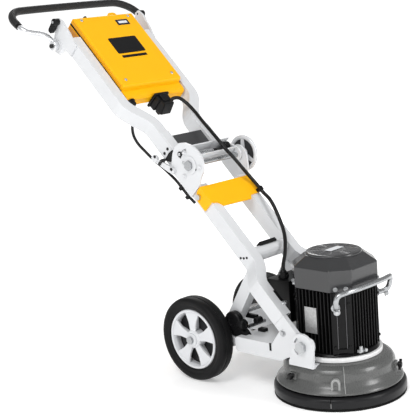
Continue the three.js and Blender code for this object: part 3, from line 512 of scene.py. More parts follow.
def finned_outline(fins=9, pitch=11.2, depth=12):
    """Plan of the motor body: fins on its four sides, broad ribbed pads across its corners."""
    pts = []
    reach = MOTOR_CORNER * math.sqrt(2) - MOTOR_HALF
    half_fins = (fins - 1) / 2
    for side in range(4):
        turn = side * math.pi / 2
        c, s = math.cos(turn), math.sin(turn)

        def place(u, v):
            pts.append((v * c + u * s, v * s - u * c))
        for k in range(fins):
            u = (half_fins - k) * pitch
            top = MOTOR_HALF - (0.6 if k in (0, fins - 1) else 0)
            for du, v in ((2.3, MOTOR_HALF - depth), (1.7, top - 1), (0.9, top), (-0.9, top), (-1.7, top - 1),
                          (-2.3, MOTOR_HALF - depth)):
                place(u + du, v)
        place(-reach + 3.5, MOTOR_HALF - 6)
        place(-reach + 1.0, MOTOR_HALF - 1.2)
        place(-reach - 2.5, MOTOR_HALF - 3.4)
        for t in (-13, -10, 10, 13):
            inset = 4.5 if abs(t) == 10 else 0
            d = MOTOR_CORNER - 2.2 - inset
            angle = turn + 45 * math.pi / 180
            x = d * math.cos(angle) - t * math.sin(angle)
            y = d * math.sin(angle) + t * math.cos(angle)
            pts.append((x, y))
        for x, y in ((reach + 2.5, MOTOR_HALF - 3.4), (reach - 1.0, MOTOR_HALF - 1.2),
                     (reach - 3.5, MOTOR_HALF - 6)):
            pts.append((x * c - y * s, x * s + y * c))
    return pts


def motor_body():
    bm = new()
    prism(bm, finned_outline(), P(0, 0, MOTOR_LOW), X, Y, Z, COWL_LOW - MOTOR_LOW - 0.4)
    finish_mesh("motor_housing", bm, MOTOR, "head", ["motor_body"], bevel=0.5)
    bm = new()
    rib_low, rib_high = 134, 262
    for angle in CORNER_ANGLES:
        radial, tangent = spoke(angle)
        for t in (-18, 18):
            block(bm, P(0, 0, (rib_low + rib_high) / 2) + radial * 98.6 * MM + tangent * t * MM,
                  (6, 5, rib_high - rib_low), radial, tangent)
        for z in (142, 250):
            for t in (-18, 18):
                hex_bolt(bm, P(0, 0, z) + radial * 101.4 * MM + tangent * t * MM, radial, 7, 4)
        block(bm, P(0, 0, 131) + radial * 97 * MM, (8, 44, 10), radial, tangent)
    finish_mesh("motor_pads", bm, MOTOR, "head", bevel=1.0)


def octagon(z, half, corner):
    """The eight corner points of the cowl's square with cut corners."""
    reach = corner * math.sqrt(2) - half
    return [P(x, y, z) for x, y in ((half, -reach), (half, reach), (reach, half), (-reach, half),
                                    (-half, reach), (-half, -reach), (-reach, -half), (reach, -half))]


def cowl():
    bm = new()
    rings = [octagon(z, half, corner) for z, half, corner in (
        (COWL_LOW + 0.5, MOTOR_HALF + 2, MOTOR_CORNER + 1), (335, MOTOR_HALF + 2, MOTOR_CORNER + 1),
        (359, 66, 72), (359.5, 58, 63))]
    rings.insert(0, octagon(COWL_LOW + 0.5, MOTOR_HALF - 1, MOTOR_CORNER - 2))
    loops = [[bm.verts.new(p) for p in ring] for ring in rings]
    for low, high in zip(loops, loops[1:]):
        skin(bm, low, high)
    bm.faces.new(loops[-1])
    bm.faces.new(list(reversed(loops[0])))
    finish_mesh("cowl_shell", bm, COWL, "head", ["fan_cowl"], bevel=2.6, segments=4)
    bm = new()
    cap = [(0.01, 358), (69, 356.5), (71, 360), (69, 364.3), (60, 365.2), (0.01, 365.6)]
    lathe(bm, softened(cap, 2.0, 3), segments=96)
    finish_mesh("cowl_cap", bm, COWL, "head", sharp=40)
    bm = new()
    for ring in (58, 50, 42, 34):
        lathe(bm, [(ring, 365.0), (ring + 2.4, 365.0), (ring + 1.8, 366.4), (ring + 0.6, 366.4)], segments=72)
    for k in range(12):
        radial = spoke(30 * k)[0]
        block(bm, P(0, 0, 365.6) + radial * 46 * MM, (30, 2.4, 1.7), radial, Z.cross(radial))
    finish_mesh("cowl_grille", bm, COWL, "head", sharp=30)
    bm = new()
    block(bm, P(2, 0, 366.9), (20, 52, 0.9))
    finish_mesh("cowl_label", bm, PALE, "head", bevel=0.3)
    bm = new()
    for angle in CORNER_ANGLES:
        radial, tangent = spoke(angle)
        for t in (-13, 13):
            hex_bolt(bm, P(0, 0, 289) + radial * 103.2 * MM + tangent * t * MM, radial, 7, 3.5, washer=5.6)
    finish_mesh("cowl_screws", bm, BOLT, "head")


LIFT_HALF = [(66.5, -84, 244), (74, -94, 244.5), (83, -106, 252), (87, -111, 268), (91, -107, 281),
             (103, -87, 288), (111, -50, 290)]


def lift_handle():
    bm = new()
    pts = [P(x, y, z) for x, y, z in LIFT_HALF]
    path = spline(pts + list(reversed(mirrored(pts))), 8)
    tube(bm, path, 6.6, 20)
    for side in (-1, 1):
        radial = Vector((0.62, side * 0.78, 0)).normalized()
        turned(bm, [(11, 0), (11, 3.5), (10, 4.5), (0, 4.5)], P(64, side * 84.5, 244), radial, 32)
    finish_mesh("lift_bar", bm, STEEL, "head", ["lift_handle"], sharp=40)
    bm = new()
    for side in (-1, 1):
        hex_bolt(bm, P(79, side * 99, 238), Vector((0.62, side * 0.78, 0)).normalized(), 10, 7, washer=8)
    finish_mesh("lift_bar_bolts", bm, BOLT, "head")


def head_trim():
    # thin rods along the corner pads, which stand in for the shine on their edges
    bm = new()
    for angle in CORNER_ANGLES:
        radial, tangent = spoke(angle)
        for t, out in ((-14.2, 99.2), (-11.2, 97.5), (11.2, 97.5), (14.2, 99.2)):
            foot = P(0, 0, 125) + radial * out * MM + tangent * t * MM
            turned(bm, [(1.3, 0), (1.3, 154), (0, 154)], foot, Z, 12)
    finish_mesh("motor_pad_edges", bm, PAD_EDGE_HIGHLIGHT, "head")
    bm = new()
    block(bm, P(-9.5, -MOTOR_HALF - 0.6, 203.5), (37, 1.0, 66))
    finish_mesh("rating_plate", bm, PLATE, "head", bevel=0.3)
    bm = new()
    for z in (174, 233):
        for x in (-24, 5):
            disc_screw(bm, P(x, -MOTOR_HALF - 1.1, z), -Y, 1.6, 1.2)
    finish_mesh("rating_plate_pins", bm, BOLT, "head")
    # earth clamp at the foot of the motor's front
    bm = new()
    block(bm, P(98, -34, 128), (10, 22, 8))
    block(bm, P(103, -42, 135), (5, 7, 14))
    turned(bm, [(5, 0), (5, 4), (0, 4)], P(103, -28, 129), X, 20)
    hex_bolt(bm, P(104, -28, 129), X, 9, 6)
    finish_mesh("foot_clamp", bm, BOLT, "head", bevel=0.7)
    bm = new()
    for y in (-47, 47):
        for z in (180, 272):
            disc_screw(bm, P(-181.2, y, z), -X, 3.4, 2.0)
    finish_mesh("terminal_screws", bm, BOLT, "head")
    bm = new()
    turned(bm, [(12.5, 0), (12.5, 9), (10.5, 11), (10.5, 14), (8, 19), (5.6, 22), (5.4, 26), (0, 26)],
           P(-140, -34, 281), Z, 32)
    for k in range(6):
        radial, tangent = spoke(60 * k)
        block(bm, P(-140, -34, 286) + radial * 12.2 * MM, (3, 8, 8), radial, tangent)
    finish_mesh("lead_gland", bm, BLACK, "head", bevel=0.5)


# ------------ leads
# (s, n, y) in mm along the rails, in front of their rear face and to the left
UPPER_LEAD = [(914, 32, 31), (917, 42, 41), (910, 50, 53), (889, 53, 62), (850, 58, 63), (806, 68, 52),
              (762, 80, 40), (720, 90, 30), (681, 92, 29), (650, 86, 41), (620, 72, 61), (596, 60, 79),
              (575, 55.2, 87), (558, 55.2, 88)]
BOND_LEAD = [(924.4, 27, -96), (920, 25.6, -95.6), (914, 12, -90), (908, -10, -82), (902, -36, -79),
             (885, -50, -79), (859, -54, -80), (821, -49, -80), (783, -42, -80), (750, -32, -81),
             (717, -24, -82), (690, -19, -83), (662, -17, -84), (636, -16, -84), (606, -12, -84)]


def leads():
    bm = new()
    tube(bm, spline([at(s, n, y) for s, n, y in UPPER_LEAD], 14), 5, 18)
    upper = finish_mesh("motor_cable_upper", bm, CABLE, None, ["motor_lead_upper"], sharp=60)
    at(750, 84, 37)
    at(604, 64, 73)
    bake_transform(upper)
    lower = [at(557.4, 55.2, 88), at(545, 55.4, 88), at(515, 62, 84), P(-245, 74, 425), P(-203, 52, 374),
             P(-168, 10, 335), P(-147, -24, 314), P(-140, -34, 304), P(-140, -34, 297)]
    bm = new()
    tube(bm, spline(lower, 14), 5, 18)
    low = finish_mesh("motor_cable_lower", bm, CABLE, None, ["motor_lead_lower"], sharp=60)
    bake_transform(low)
    bm = new()
    tube(bm, spline([at(s, n, y) for s, n, y in BOND_LEAD], 14), 4, 16)
    bond = finish_mesh("bond_cable", bm, CABLE, None, ["bond_lead"], sharp=60)
    at(783, -42, -80)
    at(636, -16, -84)
    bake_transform(bond)


# ------------ wheels
# mm: the axle's place, the wheel's outer side, its width, and the radius of tyre and rim
AXLE_X, AXLE_Z, WHEEL_OUT, WHEEL_WIDE, WHEEL_R, RIM_R = -363, 113, 162, 46, 113, 81


def wheel(side):
    name = "R" if side < 0 else "L"
    body = "wheel_" + name
    centre = P(AXLE_X, 0, AXLE_Z)

    def flip(profile):
        return [(r, -side * y) for r, y in profile]
    inn = WHEEL_OUT - WHEEL_WIDE
    bm = new()
    tyre = [(RIM_R, -inn - 6), (RIM_R + 10, -inn - 1), (WHEEL_R - 9, -inn), (WHEEL_R - 2, -inn - 4),
            (WHEEL_R, -inn - 12), (WHEEL_R, -140.5), (WHEEL_R - 1.6, -141.2), (WHEEL_R - 1.6, -142.8),
            (WHEEL_R, -143.5),
            (WHEEL_R, -WHEEL_OUT + 12), (WHEEL_R - 2, -WHEEL_OUT + 4), (WHEEL_R - 9, -WHEEL_OUT),
            (RIM_R + 15, -WHEEL_OUT + 0.6), (RIM_R + 12, -WHEEL_OUT + 2.2), (RIM_R + 4, -WHEEL_OUT + 2.6),
            (RIM_R, -WHEEL_OUT + 6)]
    lathe(bm, flip(softened(tyre, 2.2, 3, closed=True)), centre, "Y", 128)
    finish_mesh("tyre_tread_" + name, bm, TYRE, body, ["tyre_" + name], sharp=50)
    bm = new()
    ring = [(RIM_R - 7, -inn - 6), (RIM_R, -inn - 6), (RIM_R, -WHEEL_OUT + 5), (RIM_R - 3, -WHEEL_OUT + 2.5),
            (RIM_R - 7, -WHEEL_OUT + 3.5), (RIM_R - 10, -WHEEL_OUT + 14)]
    lathe(bm, flip(softened(ring, 1.8, 3, closed=True)), centre, "Y", 128)
    hub = [(11, -inn - 2), (23, -inn - 3), (25, -WHEEL_OUT + 8), (22, -WHEEL_OUT + 3), (11, -WHEEL_OUT + 3)]
    lathe(bm, flip(softened(hub, 1.5, 3, closed=True)), centre, "Y", 64)
    for k in range(5):
        u, v = wheel_spoke(18 + 72 * k)
        outline = softened([(20, -9), (46, -13), (RIM_R - 8, -25), (RIM_R - 4, -25), (RIM_R - 4, 25),
                            (RIM_R - 8, 25), (46, 13), (20, 9)], 6, 4, closed=True)
        prism(bm, outline, centre + Y * side * (WHEEL_OUT - 12) * MM, u, v, Y * side, 5.5)
        block(bm, centre + Y * side * (WHEEL_OUT - 22) * MM + u * 47 * MM, (56, 3.5, 18), u, v, Y)
    finish_mesh("rim_spokes_" + name, bm, RIM, body, ["rim_" + name], bevel=0.9, segments=3)
    bm = new()
    # a dark disc behind the spokes: painted shade seen through the wheel's windows
    shade_disc = [(12, -inn - 12), (RIM_R - 6, -inn - 12), (RIM_R - 6, -inn - 16), (12, -inn - 16)]
    lathe(bm, flip(shade_disc), centre, "Y", 64)
    finish_mesh("rim_shade_disc_" + name, bm, RIM_DARK, body)
    bm = new()
    cap = [(17, 0), (17.5, 2), (16.5, 4), (13, 5), (12.4, 4.2), (11.6, 4.2), (11, 5.2), (5, 6.2),
           (4.4, 7.4), (3, 8), (0, 8)]
    turned(bm, cap, centre + Y * side * (WHEEL_OUT - 3) * MM, Y * side, 48)
    finish_mesh("hub_cap_" + name, bm, RIM, body, sharp=35)


# ------------ handle
# mm: half width over the upper rails' top and over the handle; its pivot, knee, top; its corner radius
UPPER_OUT, HANDLE_HALF, HANDLE_S, HANDLE_KNEE, HANDLE_TOP, HANDLE_CORNER = 147, 229, 1206, 1240, 1369, 58
PIVOT_N, KNEE_RISE, TOP_DROP = -10, 5, 27
LEVER_S, LEVER_N = 1245, 43  # mm, the pin of the cam levers


def handle_depth(s):
    """How far the bar lies in front of the rails' rear face: a rise to the knee, then a drop to the top."""
    if s < HANDLE_KNEE:
        return PIVOT_N + KNEE_RISE * (s - HANDLE_S) / (HANDLE_KNEE - HANDLE_S)
    return PIVOT_N + (KNEE_RISE - TOP_DROP * (s - HANDLE_KNEE) / (HANDLE_TOP - HANDLE_KNEE))


def handle_path():
    root = UPPER_OUT + 18
    places = [(HANDLE_S, root), (HANDLE_S + 14, root + 1), (HANDLE_S + 38, root + 12),
              (HANDLE_S + 68, HANDLE_HALF - 4)]
    for k in range(7):
        a = math.radians(180 - 15 * k)
        places.append((HANDLE_TOP - HANDLE_CORNER + HANDLE_CORNER * math.sin(a),
                       HANDLE_HALF - HANDLE_CORNER - HANDLE_CORNER * math.cos(a)))
    near = [at(s, handle_depth(s), -y) for s, y in places]
    return spline(near + list(reversed(mirrored(near))), 12)


def handle():
    path = handle_path()
    lengths = [0.0]
    for a, b in zip(path, path[1:]):
        lengths.append(lengths[-1] + (b - a).length)
    total = lengths[-1]
    bm = new()
    tube(bm, path, 8, 24)
    for side in (-1, 1):
        hub = at(HANDLE_S, PIVOT_N, side * (UPPER_OUT + 12.4))
        turned(bm, [(13, 0), (13.6, 1), (13.6, 14), (12, 15.5), (0, 15.5)], hub, Y * side, 40)
    finish_mesh("handle_bar", bm, ZINC, "handle", ["handle_tube"], sharp=40)
    bm = new()
    for side in (-1, 1):
        hex_bolt(bm, at(HANDLE_S, PIVOT_N, side * (UPPER_OUT + 27.8)), Y * side, 11, 6)
    finish_mesh("handle_bolts", bm, BLACK_BOLT, "handle")
    foam_starts, foam_ends = 0.155, 0.845  # of the bar's length
    covered = [p for p, d in zip(path, lengths) if foam_starts * total <= d <= foam_ends * total]
    foam_radius, end_radius, rounding = 10.9, 9.6, 3
    bm = new()

    def swell(t):
        edge = min(t, 1 - t) * (foam_ends - foam_starts) * total / MM
        return foam_radius if edge > rounding else end_radius + (foam_radius - end_radius) * edge / rounding
    tube(bm, covered, foam_radius, 28, radius_at=swell)
    finish_mesh("handle_foam", bm, FOAM, "handle", ["handle_grip"], sharp=50)
    bm = new()
    for at_end, step in ((0, 1), (-1, -1)):
        p, q = covered[at_end], covered[at_end + step]
        d = (p - q).normalized()
        turned(bm, [(9.4, -2), (10.2, 0), (10.2, 5), (8.6, 7), (8.2, 7)], p, d, 32)
    finish_mesh("handle_collars", bm, BLACK, "handle")


def clamps():
    for side in (-1, 1):
        name = "R" if side < 0 else "L"
        bm = new()
        y0, y1 = side * (UPPER_OUT + 9.6), side * (UPPER_OUT + 21)
        outline = softened([(1237, 40), (1235, 12), (1238, 6), (1248, 5), (1252, 10), (1254, 42)], 4, 3,
                           closed=True)
        prism(bm, outline, at(0, 0, y0), UP_RAIL, OUT, Y * side, abs(y1 - y0))
        cam = [(9.6, 0), (10, 1), (10, 15.5), (8.4, 17.3), (0, 17.3)]
        turned(bm, cam, at(LEVER_S, LEVER_N, side * (UPPER_OUT + 6.8)), Y * side, 36)
        turned(bm, [(3.2, 0), (3.2, 8)], at(LEVER_S, LEVER_N, side * (UPPER_OUT + 0.8)), Y * side, 24)
        finish_mesh("cam_lever_" + name, bm, BLACK, "clamp_" + name,
                    ["clamp_lever_" + name], bevel=1.2, segments=3)
        bm = new()
        hex_bolt(bm, at(LEVER_S, LEVER_N, side * (UPPER_OUT + 24.2)), Y * side, 7, 3)
        finish_mesh("cam_lever_pin_" + name, bm, BOLT, "clamp_" + name)


# ------------ control box
# mm: half the box's width, its two ends along the rails, and the lid's top
BOX_HALF, BOX_S0, BOX_S1, BOX_TOP = 110, 978, 1241, 57
BOX_MID = (BOX_S0 + BOX_S1) / 2
WINDOW_S, WINDOW_Y = 1206, 52


def slab_sn(bm, outline, y0, y1):
    """Outline of (s, n) points, as at() takes them, from y0 to y1."""
    prism(bm, outline, at(0, 0, y0), UP_RAIL, OUT, Y, y1 - y0)


def control_box():
    """Lid with its tab, grooves, screws, window and plain label, and painted shade in darker yellow on the
    sides of the tray and in the grooves.
    """
    bm = new()
    lid = [(BOX_S0 - 6, 38), (BOX_S0 - 5, 51), (BOX_S0 - 1, BOX_TOP), (BOX_S1 - 4, BOX_TOP), (BOX_S1, 52),
           (BOX_S1, 39)]
    slab_sn(bm, lid, -BOX_HALF, BOX_HALF)
    finish_mesh("lid_shell", bm, YELLOW, "upper", ["box_lid"], bevel=2.2, segments=3)
    bm = new()
    tab = softened([(-16, -1), (-16, 8), (-9, 14), (9, 14), (16, 8), (16, -1)], 4, 3)
    prism(bm, tab, at(BOX_S1, 43, 46), Y, UP_RAIL, OUT, 6)
    finish_mesh("lid_tab", bm, YELLOW, "upper", bevel=1.0)
    bm = new()
    # the grooves are strips of the darker yellow: painted shade in them
    for side in (-1, 1):
        for n in (43.2, 48.6):
            block(bm, at(BOX_MID, n, side * (BOX_HALF + 0.15)), (BOX_S1 - BOX_S0 - 10, 1.5, 0.5), UP_RAIL,
                  OUT, Y)
    finish_mesh("lid_grooves", bm, SHADED_YELLOW, "upper")
    bm = new()
    # darker yellow on the tray's sides: painted shade on faces turned from the light
    for side in (-1, 1):
        block(bm, at(BOX_MID - 3, 20, side * (BOX_HALF + 0.2)), (BOX_S1 - BOX_S0 - 2, 22, 0.5), UP_RAIL,
              OUT, Y)
    finish_mesh("tray_sides_painted_shade", bm, SHADED_YELLOW, "upper")
    bm = new()
    for s in (BOX_S0 + 18, BOX_S1 - 14):
        for y in (-88, 88):
            disc_screw(bm, at(s, BOX_TOP, y), OUT, 4.6, 2.6)
    finish_mesh("lid_screws", bm, BOLT, "upper")
    bm = new()
    block(bm, at(WINDOW_S, BOX_TOP + 0.5, WINDOW_Y), (21, 46, 1.0), UP_RAIL, Y, OUT)
    finish_mesh("lid_window_frame", bm, SCREEN, "upper", bevel=0.4)
    bm = new()
    block(bm, at(WINDOW_S, BOX_TOP + 1.2, WINDOW_Y), (9, 32, 0.5), UP_RAIL, Y, OUT)
    finish_mesh("lid_window", bm, PALE, "upper", bevel=0.2)
    # plain dark label with a plain bar under it, in place of printed marks
    bm = new()
    label = softened([(-52, -30), (52, -30), (52, 30), (-52, 30)], 5, 4, closed=True)
    prism(bm, label, at(1120, BOX_TOP + 0.1, 6), Y, UP_RAIL, OUT, 0.7)
    block(bm, at(1078, BOX_TOP + 0.45, 6), (9, 92, 0.7), UP_RAIL, Y, OUT)
    finish_mesh("lid_label", bm, BLACK, "upper")


def plug():
    """Square inlet on the end of the box with the lead's large plug in it, and the thin lead's gland."""
    s, n, y = 942, 24, 10
    bm = new()
    block(bm, at(s - 4.5, n, y), (8, 54, 50), UP_RAIL, Y, OUT)
    block(bm, at(s - 17, n, y), (19, 46, 42), UP_RAIL, Y, OUT)
    lean = (UP_RAIL * 0.97 - OUT * 0.22).normalized()
    up = Y.cross(lean).normalized()
    block(bm, at(s - 36, n + 4, y), (26, 38, 38), lean, Y, up)
    block(bm, at(s - 20, n + 23, y), (26, 26, 7), UP_RAIL, Y, OUT)
    block(bm, at(s - 34, n - 18, y - 8), (16, 14, 12), UP_RAIL, Y, OUT)
    finish_mesh("inlet_and_plug", bm, BLACK, "upper", ["motor_plug"], bevel=3.0, segments=3)
    bm = new()
    outward = (Y * 0.82 + OUT * 0.5 + UP_RAIL * 0.2).normalized()
    turned(bm, [(12.5, 0), (12.5, 8), (11, 10), (9, 15), (6.6, 20), (5.4, 26)], at(911, 25, 18), outward, 36)
    finish_mesh("plug_nut", bm, BLACK, "upper")
    bm = new()
    gland = [(15, 0), (15, 3), (13, 4), (13, 13), (11, 15), (6.5, 18), (4.4, 24), (4.2, 28)]
    turned(bm, gland, at(941, 27, -96), -UP_RAIL, 36)
    finish_mesh("gland_body", bm, BLACK, "upper", ["cable_gland"])


# ------------ fold hinge
def handwheel():
    centre = P(-386.8, 0, 569.2)
    bm = new()
    angles = [2 * math.pi * k / 14 for k in range(14)]
    ring = [(44 + 6 * math.cos(a), 114.5 + 5.5 * math.sin(a)) for a in angles]
    lathe(bm, ring, centre, "Y", 96)
    hub = softened([(7.2, 108), (15, 108), (16, 112), (14, 121), (7.2, 121)], 1.5, 2, closed=True)
    lathe(bm, hub, centre, "Y", 48)
    for k in range(3):
        u, v = wheel_spoke(90 + 120 * k)
        prism(bm, [(12, -7), (40, -5), (40, 5), (12, 7)], centre + Y * 111.5 * MM, u, v, Y, 6)
    finish_mesh("fold_wheel", bm, WHITE, "fold_knob", ["handwheel"], sharp=45)
    bm = new()
    # a dark disc inside the ring: painted shade in the handwheel's dished inside
    lathe(bm, [(14, 113.6), (41, 113.6), (41, 115.2), (14, 115.2)], centre, "Y", 64)
    finish_mesh("fold_wheel_shade_disc", bm, RIM_DARK, "fold_knob")
    bm = new()
    turned(bm, [(6.8, 0), (6.8, 3), (5.5, 4.2), (0, 4.2)], centre + Y * 121 * MM, Y, 32)
    finish_mesh("fold_wheel_cap", bm, BLACK_BOLT, "fold_knob")


def hinge_left():
    """The plate and the lug by the handwheel are narrow, so that the wheel shows past them."""
    bm = new()
    plate = [(617, 1), (617, 46), (627, 62), (650, 82), (664, 90), (686, 90), (700, 78), (703, 60), (700, 34),
             (708, 14), (706, 1)]
    slab_sn(bm, softened(plate, 6, 3, closed=True), 91.3, 97.5)
    finish_mesh("hinge_plate_left", bm, WHITE, "frame", ["hinge_plate_L"], bevel=0.7)
    bm = new()
    lug_in, lug_out = 84, 90.8
    wide_lug = [(653, 40), (646, 62), (653, 84), (672, 95), (700, 93), (726, 78), (746, 46.4), (747.5, 1),
                (722, 1), (694, 34)]
    slab_sn(bm, softened(wide_lug, 4, 3, closed=True), -lug_out, -lug_in)
    narrow_lug = [(664, 52), (659, 66), (668, 80), (686, 83), (727, 62), (746, 46.4), (747.5, 1), (734, 1),
                  (720, 30), (694, 44)]
    slab_sn(bm, softened(narrow_lug, 4, 3, closed=True), lug_in, lug_out)
    for side in (-1, 1):
        low, high = sorted((side * 61, side * lug_out))
        slab_sn(bm, [(740, 42.4), (810, 42.4), (810, 46.4), (740, 46.4)], low, high)
    for s0, s1, n1 in ((690, 693, 80), (724, 727, 80), (690, 727, 47)):
        slab_sn(bm, [(s0, 44), (s1, 44), (s1, n1), (s0, n1)], -84.5, 84.5)
    finish_mesh("yoke_channel", bm, WHITE, "upper", ["hinge_yoke"], bevel=0.6)
    bm = new()
    turned(bm, [(8, 0), (10, 2), (10, 16), (8, 18), (0, 18)], at(712, 66, 62), Y, 28)
    finish_mesh("yoke_knob", bm, BLACK, "upper")


def frame_trim():
    """Bolts, pads and marks on the frame, painted shade in some of its recesses, and stand-ins for the small
    parts round tray and hinge.
    """
    bm = new()
    turned(bm, [(25, 0), (25, 1.4), (24, 2), (0, 2)], at(HINGE_S, HINGE_N, PLATE_FACE), -Y, 56)
    for angle in (20, 140, 260):
        a = math.radians(angle)
        spot = at(HINGE_S + 36 * math.cos(a), HINGE_N + 36 * math.sin(a), PLATE_FACE)
        hex_bolt(bm, spot, -Y, 8, 4, washer=6.5)
    finish_mesh("hinge_disc", bm, WHITE, "frame", bevel=0.4)
    bm = new()
    for s, n in ((763, 31), (763, 13)):
        disc_screw(bm, at(s, n, RAIL_FACE), -Y, 4.2, 2.6)
    finish_mesh("rail_screws_upper", bm, BLACK_BOLT, "upper", slot="black_plastic")
    bm = new()
    for s, n in ((401, 8), (394, 16), (388, 25)):
        disc_screw(bm, at(s, n, RAIL_FACE), -Y, 3.2, 1.6)
    for s in (664, 632):
        block(bm, at(s, -13, -84), (9, 20, 13), UP_RAIL, OUT, Y)
    # dark discs: painted shade in the recesses round the plate's two pins, and a smaller dark dot
    for s, n, r in ((719, 60, 7.5), (693, 55, 6.5), (655, 72, 4)):
        turned(bm, [(r, 0), (r, 1.4), (0, 1.4)], at(s, n, -98.2), -Y, 28)
    stop = softened([(748, 3), (750, 30), (747, 46), (731, 35), (729, 17)], 3, 3, closed=True)
    slab_sn(bm, stop, -97, -92.5)
    # dark strip on the front of the leg: painted shade in an opening there
    block(bm, at(254, 42.6, -101), (34, 9, 1.4), UP_RAIL, Y, OUT)
    block(bm, P(-113, -131.3, 128), (6, 1.6, 20))
    block(bm, at(409, 32, 0), (10, 16, 62), UP_RAIL, OUT, Y)
    finish_mesh("rail_marks_and_painted_shade", bm, BLACK, "frame")
    bm = new()
    for s, n, r in ((719, 60, 4.6), (693, 55, 4.2)):
        turned(bm, [(r, 0), (r, 3), (r - 0.8, 3.8), (0, 3.8)], at(s, n, -98.4), -Y, 24)
    hex_bolt(bm, at(229, 42.2, -98), OUT, 9, 5, washer=7.5)
    finish_mesh("plate_pins", bm, BOLT, "frame")
    bm = new()
    for s, n in ((774, -9), (710, 12)):
        disc_screw(bm, at(s, n, -106), -Y, 4.4, 3.2)
    block(bm, at(750, -6, -100), (8, 20, 14), UP_RAIL, OUT, Y)
    finish_mesh("latch_pins", bm, BLACK_BOLT, "latch", bevel=0.5)
    bm = new()
    for x, z, y0, y1, r in ((-260, 179, -62, 62, 5.5), (-232, 148, -78, -14, 5), (-232, 148, 14, 78, 5)):
        turned(bm, [(r, 0), (r, y1 - y0), (r - 1, y1 - y0 + 1), (0, y1 - y0 + 1)], P(x, y0, z), Y, 24)
    finish_mesh("tray_rods", bm, STEEL, "frame")
    bm = new()
    for side in (-1, 1):
        block(bm, P(-208, side * 50, 128), (22, 16, 26))
        block(bm, P(-246, side * 50, 168), (44, 9, 12))
        turned(bm, [(9, 0), (9, 20), (7, 22), (0, 22)], P(-222, side * 40, 160), Y * side, 24)
    finish_mesh("tray_links", bm, BLACK, "frame", bevel=1.2)
    bm = new()
    for side in (-1, 1):
        inner, outer = side * 92, side * 114
        turned(bm, [(18, 0), (25, 1.5), (27, 4), (27, 18), (24, 21), (13, 21), (12, 18), (0, 18)],
               P(-258, inner, 166), Y * side, 48)
        nose = [(13, 0), (15, 2), (15, 14), (12, 18), (7, 18), (6, 16), (0, 16)]
        turned(bm, nose, P(-240, side * 102, 160), X, 32)
        sole = softened([(-268, 150), (-236, 152), (-212, 138), (-210, 130), (-262, 128)], 5, 3, closed=True)
        prism(bm, sole, P(0, inner, 0), X, Z, Y * side, abs(outer - inner) - 2)
    finish_mesh("leg_foot_housings", bm, BLACK, "frame", bevel=1.0)
    bm = new()
    coil = [at(708 + 8 * math.cos(0.6 * k), 60 + 8 * math.sin(0.6 * k), -58 + 0.62 * k) for k in range(120)]
    tube(bm, coil, 1.3, 8)
    finish_mesh("fold_spring", bm, BOLT, "upper", sharp=60)
    bm = new()
    hex_bolt(bm, at(708, 47, -70), OUT, 12, 8, washer=9)
    hex_bolt(bm, at(708, 47, 40), OUT, 12, 8, washer=9)
    turned(bm, [(6, 0), (6, 40), (4, 42), (0, 42)], at(708, 60, 22), Y, 24)
    finish_mesh("yoke_bolts", bm, BLACK_BOLT, "upper")
    bm = new()
    for side in (-1, 1):
        hex_bolt(bm, P(-69, side * 131, 171), Y * side, 10, 5, washer=9)
    finish_mesh("leg_bolts", bm, BOLT, "frame")


# ------------ stage
FLOOR_RADIUS, FLOOR_DEPTH, FLOOR_LOW = 400000, 19.8, -0.02  # mm, mm and metres
# the glow is dimmer near the machine: a painted shadow under it
GLOW_NEAR, GLOW_FAR = (0.2, 0.30), (1.6, 0.72)  # metres from the frame's origin, and the glow there
WORLD_STRENGTH = 0.42
STRIP_BELOW, STRIP_HEIGHT = 0.5, 1.3  # metres: a lamp narrower than the first is a strip of this height
LAMPS = (  # name, place, target, size in metres, watts
    ("key", (0.9, -2.4, 3.2), (0, 0, 0.4), 1.5, 62),
    ("front", (3.0, 0.9, 2.0), (0.35, 0, 0.3), 1.0, 34),
    ("rim", (-2.6, 2.2, 2.6), (0, 0, 0.5), 1.4, 30),
    ("strip", (2.6, -1.7, 0.9), (0.4, 0, 0.25), 0.35, 5),
    ("edge_right", (3.0, 0.45, 0.75), (0.4, 0, 0.25), 0.08, 8),
    ("edge_left", (0.1, -2.7, 0.75), (0.4, 0, 0.25), 0.06, 5))
CAMERA_AZIMUTH, CAMERA_ELEVATION, CAMERA_ROLL = 44.465, 11.129, -4.096  # degrees
CAMERA_PLACE = (1795.6, -2267.2, 1060.3)  # mm from the head axis
CAMERA_LENS, SENSOR_WIDTH = 103.23, 36  # mm
FAR_CLIP = 1500  # metres, past the edge of the floor


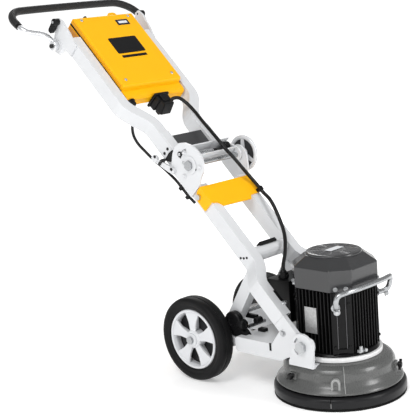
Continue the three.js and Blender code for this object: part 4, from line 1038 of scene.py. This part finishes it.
def studio():
    """White floor with a soft glow that grows away from the machine, which paints a shadow under it, the
    lamps and the world.
    """
    bm = new()
    prism(bm, circle(FLOOR_RADIUS, 96), Vector((0, 0, FLOOR_LOW)), X, Y, Z, FLOOR_DEPTH)
    floor_look = material("studio_floor", (0.90, 0.90, 0.90), 0.7, spread=0.01, grain=2.0, bump=0,
                          specular=0.2)
    tree = floor_look.node_tree
    glow = tree.nodes["Principled BSDF"]
    glow.inputs["Emission Color"].default_value = (1, 1, 1, 1)
    place = tree.nodes.new("ShaderNodeTexCoord")
    distance = tree.nodes.new("ShaderNodeVectorMath")
    distance.operation = "LENGTH"
    # dimmer glow near the machine: a painted shadow on the floor
    painted_shadow_ramp = tree.nodes.new("ShaderNodeMapRange")
    for end, (reach, strength) in (("Min", GLOW_NEAR), ("Max", GLOW_FAR)):
        painted_shadow_ramp.inputs["From " + end].default_value = reach
        painted_shadow_ramp.inputs["To " + end].default_value = strength
    tree.links.new(place.outputs["Object"], distance.inputs[0])
    tree.links.new(distance.outputs["Value"], painted_shadow_ramp.inputs["Value"])
    tree.links.new(painted_shadow_ramp.outputs["Result"], glow.inputs["Emission Strength"])
    mesh = bpy.data.meshes.new("floor")
    bm.to_mesh(mesh)
    bm.free()
    mesh.materials.append(floor_look)
    floor = bpy.data.objects.new("floor", mesh)
    bpy.context.scene.collection.objects.link(floor)
    world = bpy.data.worlds.new("studio")
    world.use_nodes = True
    bpy.context.scene.world = world
    background = world.node_tree.nodes["Background"]
    background.inputs["Color"].default_value = (1, 1, 1, 1)
    background.inputs["Strength"].default_value = WORLD_STRENGTH
    for name, place, target, size, power in LAMPS:
        data = bpy.data.lights.new(name, "AREA")
        data.size, data.energy = size, power
        if size < STRIP_BELOW:
            data.shape = "RECTANGLE"
            data.size_y = STRIP_HEIGHT
        light = bpy.data.objects.new(name, data)
        light.location = place
        light.rotation_euler = (Vector(target) - Vector(place)).to_track_quat("-Z", "Y").to_euler()
        bpy.context.scene.collection.objects.link(light)
    bpy.context.scene.view_settings.view_transform = "Standard"
    bpy.context.scene.view_settings.look = "None"


def camera():
    az, el, roll = (math.radians(a) for a in (CAMERA_AZIMUTH, CAMERA_ELEVATION, CAMERA_ROLL))
    back = Vector((math.sin(az) * math.cos(el), -math.cos(az) * math.cos(el), math.sin(el)))
    right = (-back).cross(Z).normalized()
    up = right.cross(-back)
    cam_x = right * math.cos(roll) + up * math.sin(roll)
    cam_y = -right * math.sin(roll) + up * math.cos(roll)
    data = bpy.data.cameras.new("camera")
    data.lens, data.sensor_width = CAMERA_LENS, SENSOR_WIDTH
    data.clip_end = FAR_CLIP
    cam = bpy.data.objects.new("camera", data)
    turn = Matrix((cam_x, cam_y, back)).transposed().to_4x4()
    cam.matrix_world = Matrix.Translation(P(*CAMERA_PLACE)) @ turn
    bpy.context.scene.collection.objects.link(cam)
    bpy.context.scene.camera = cam


camera()
leads()
shroud()
shroud_details()
skirt()
band()
motor_body()
cowl()
lift_handle()
head_trim()
wheel(-1)
wheel(1)
handle()
clamps()
control_box()
plug()
handwheel()
hinge_left()
frame_trim()
studio()
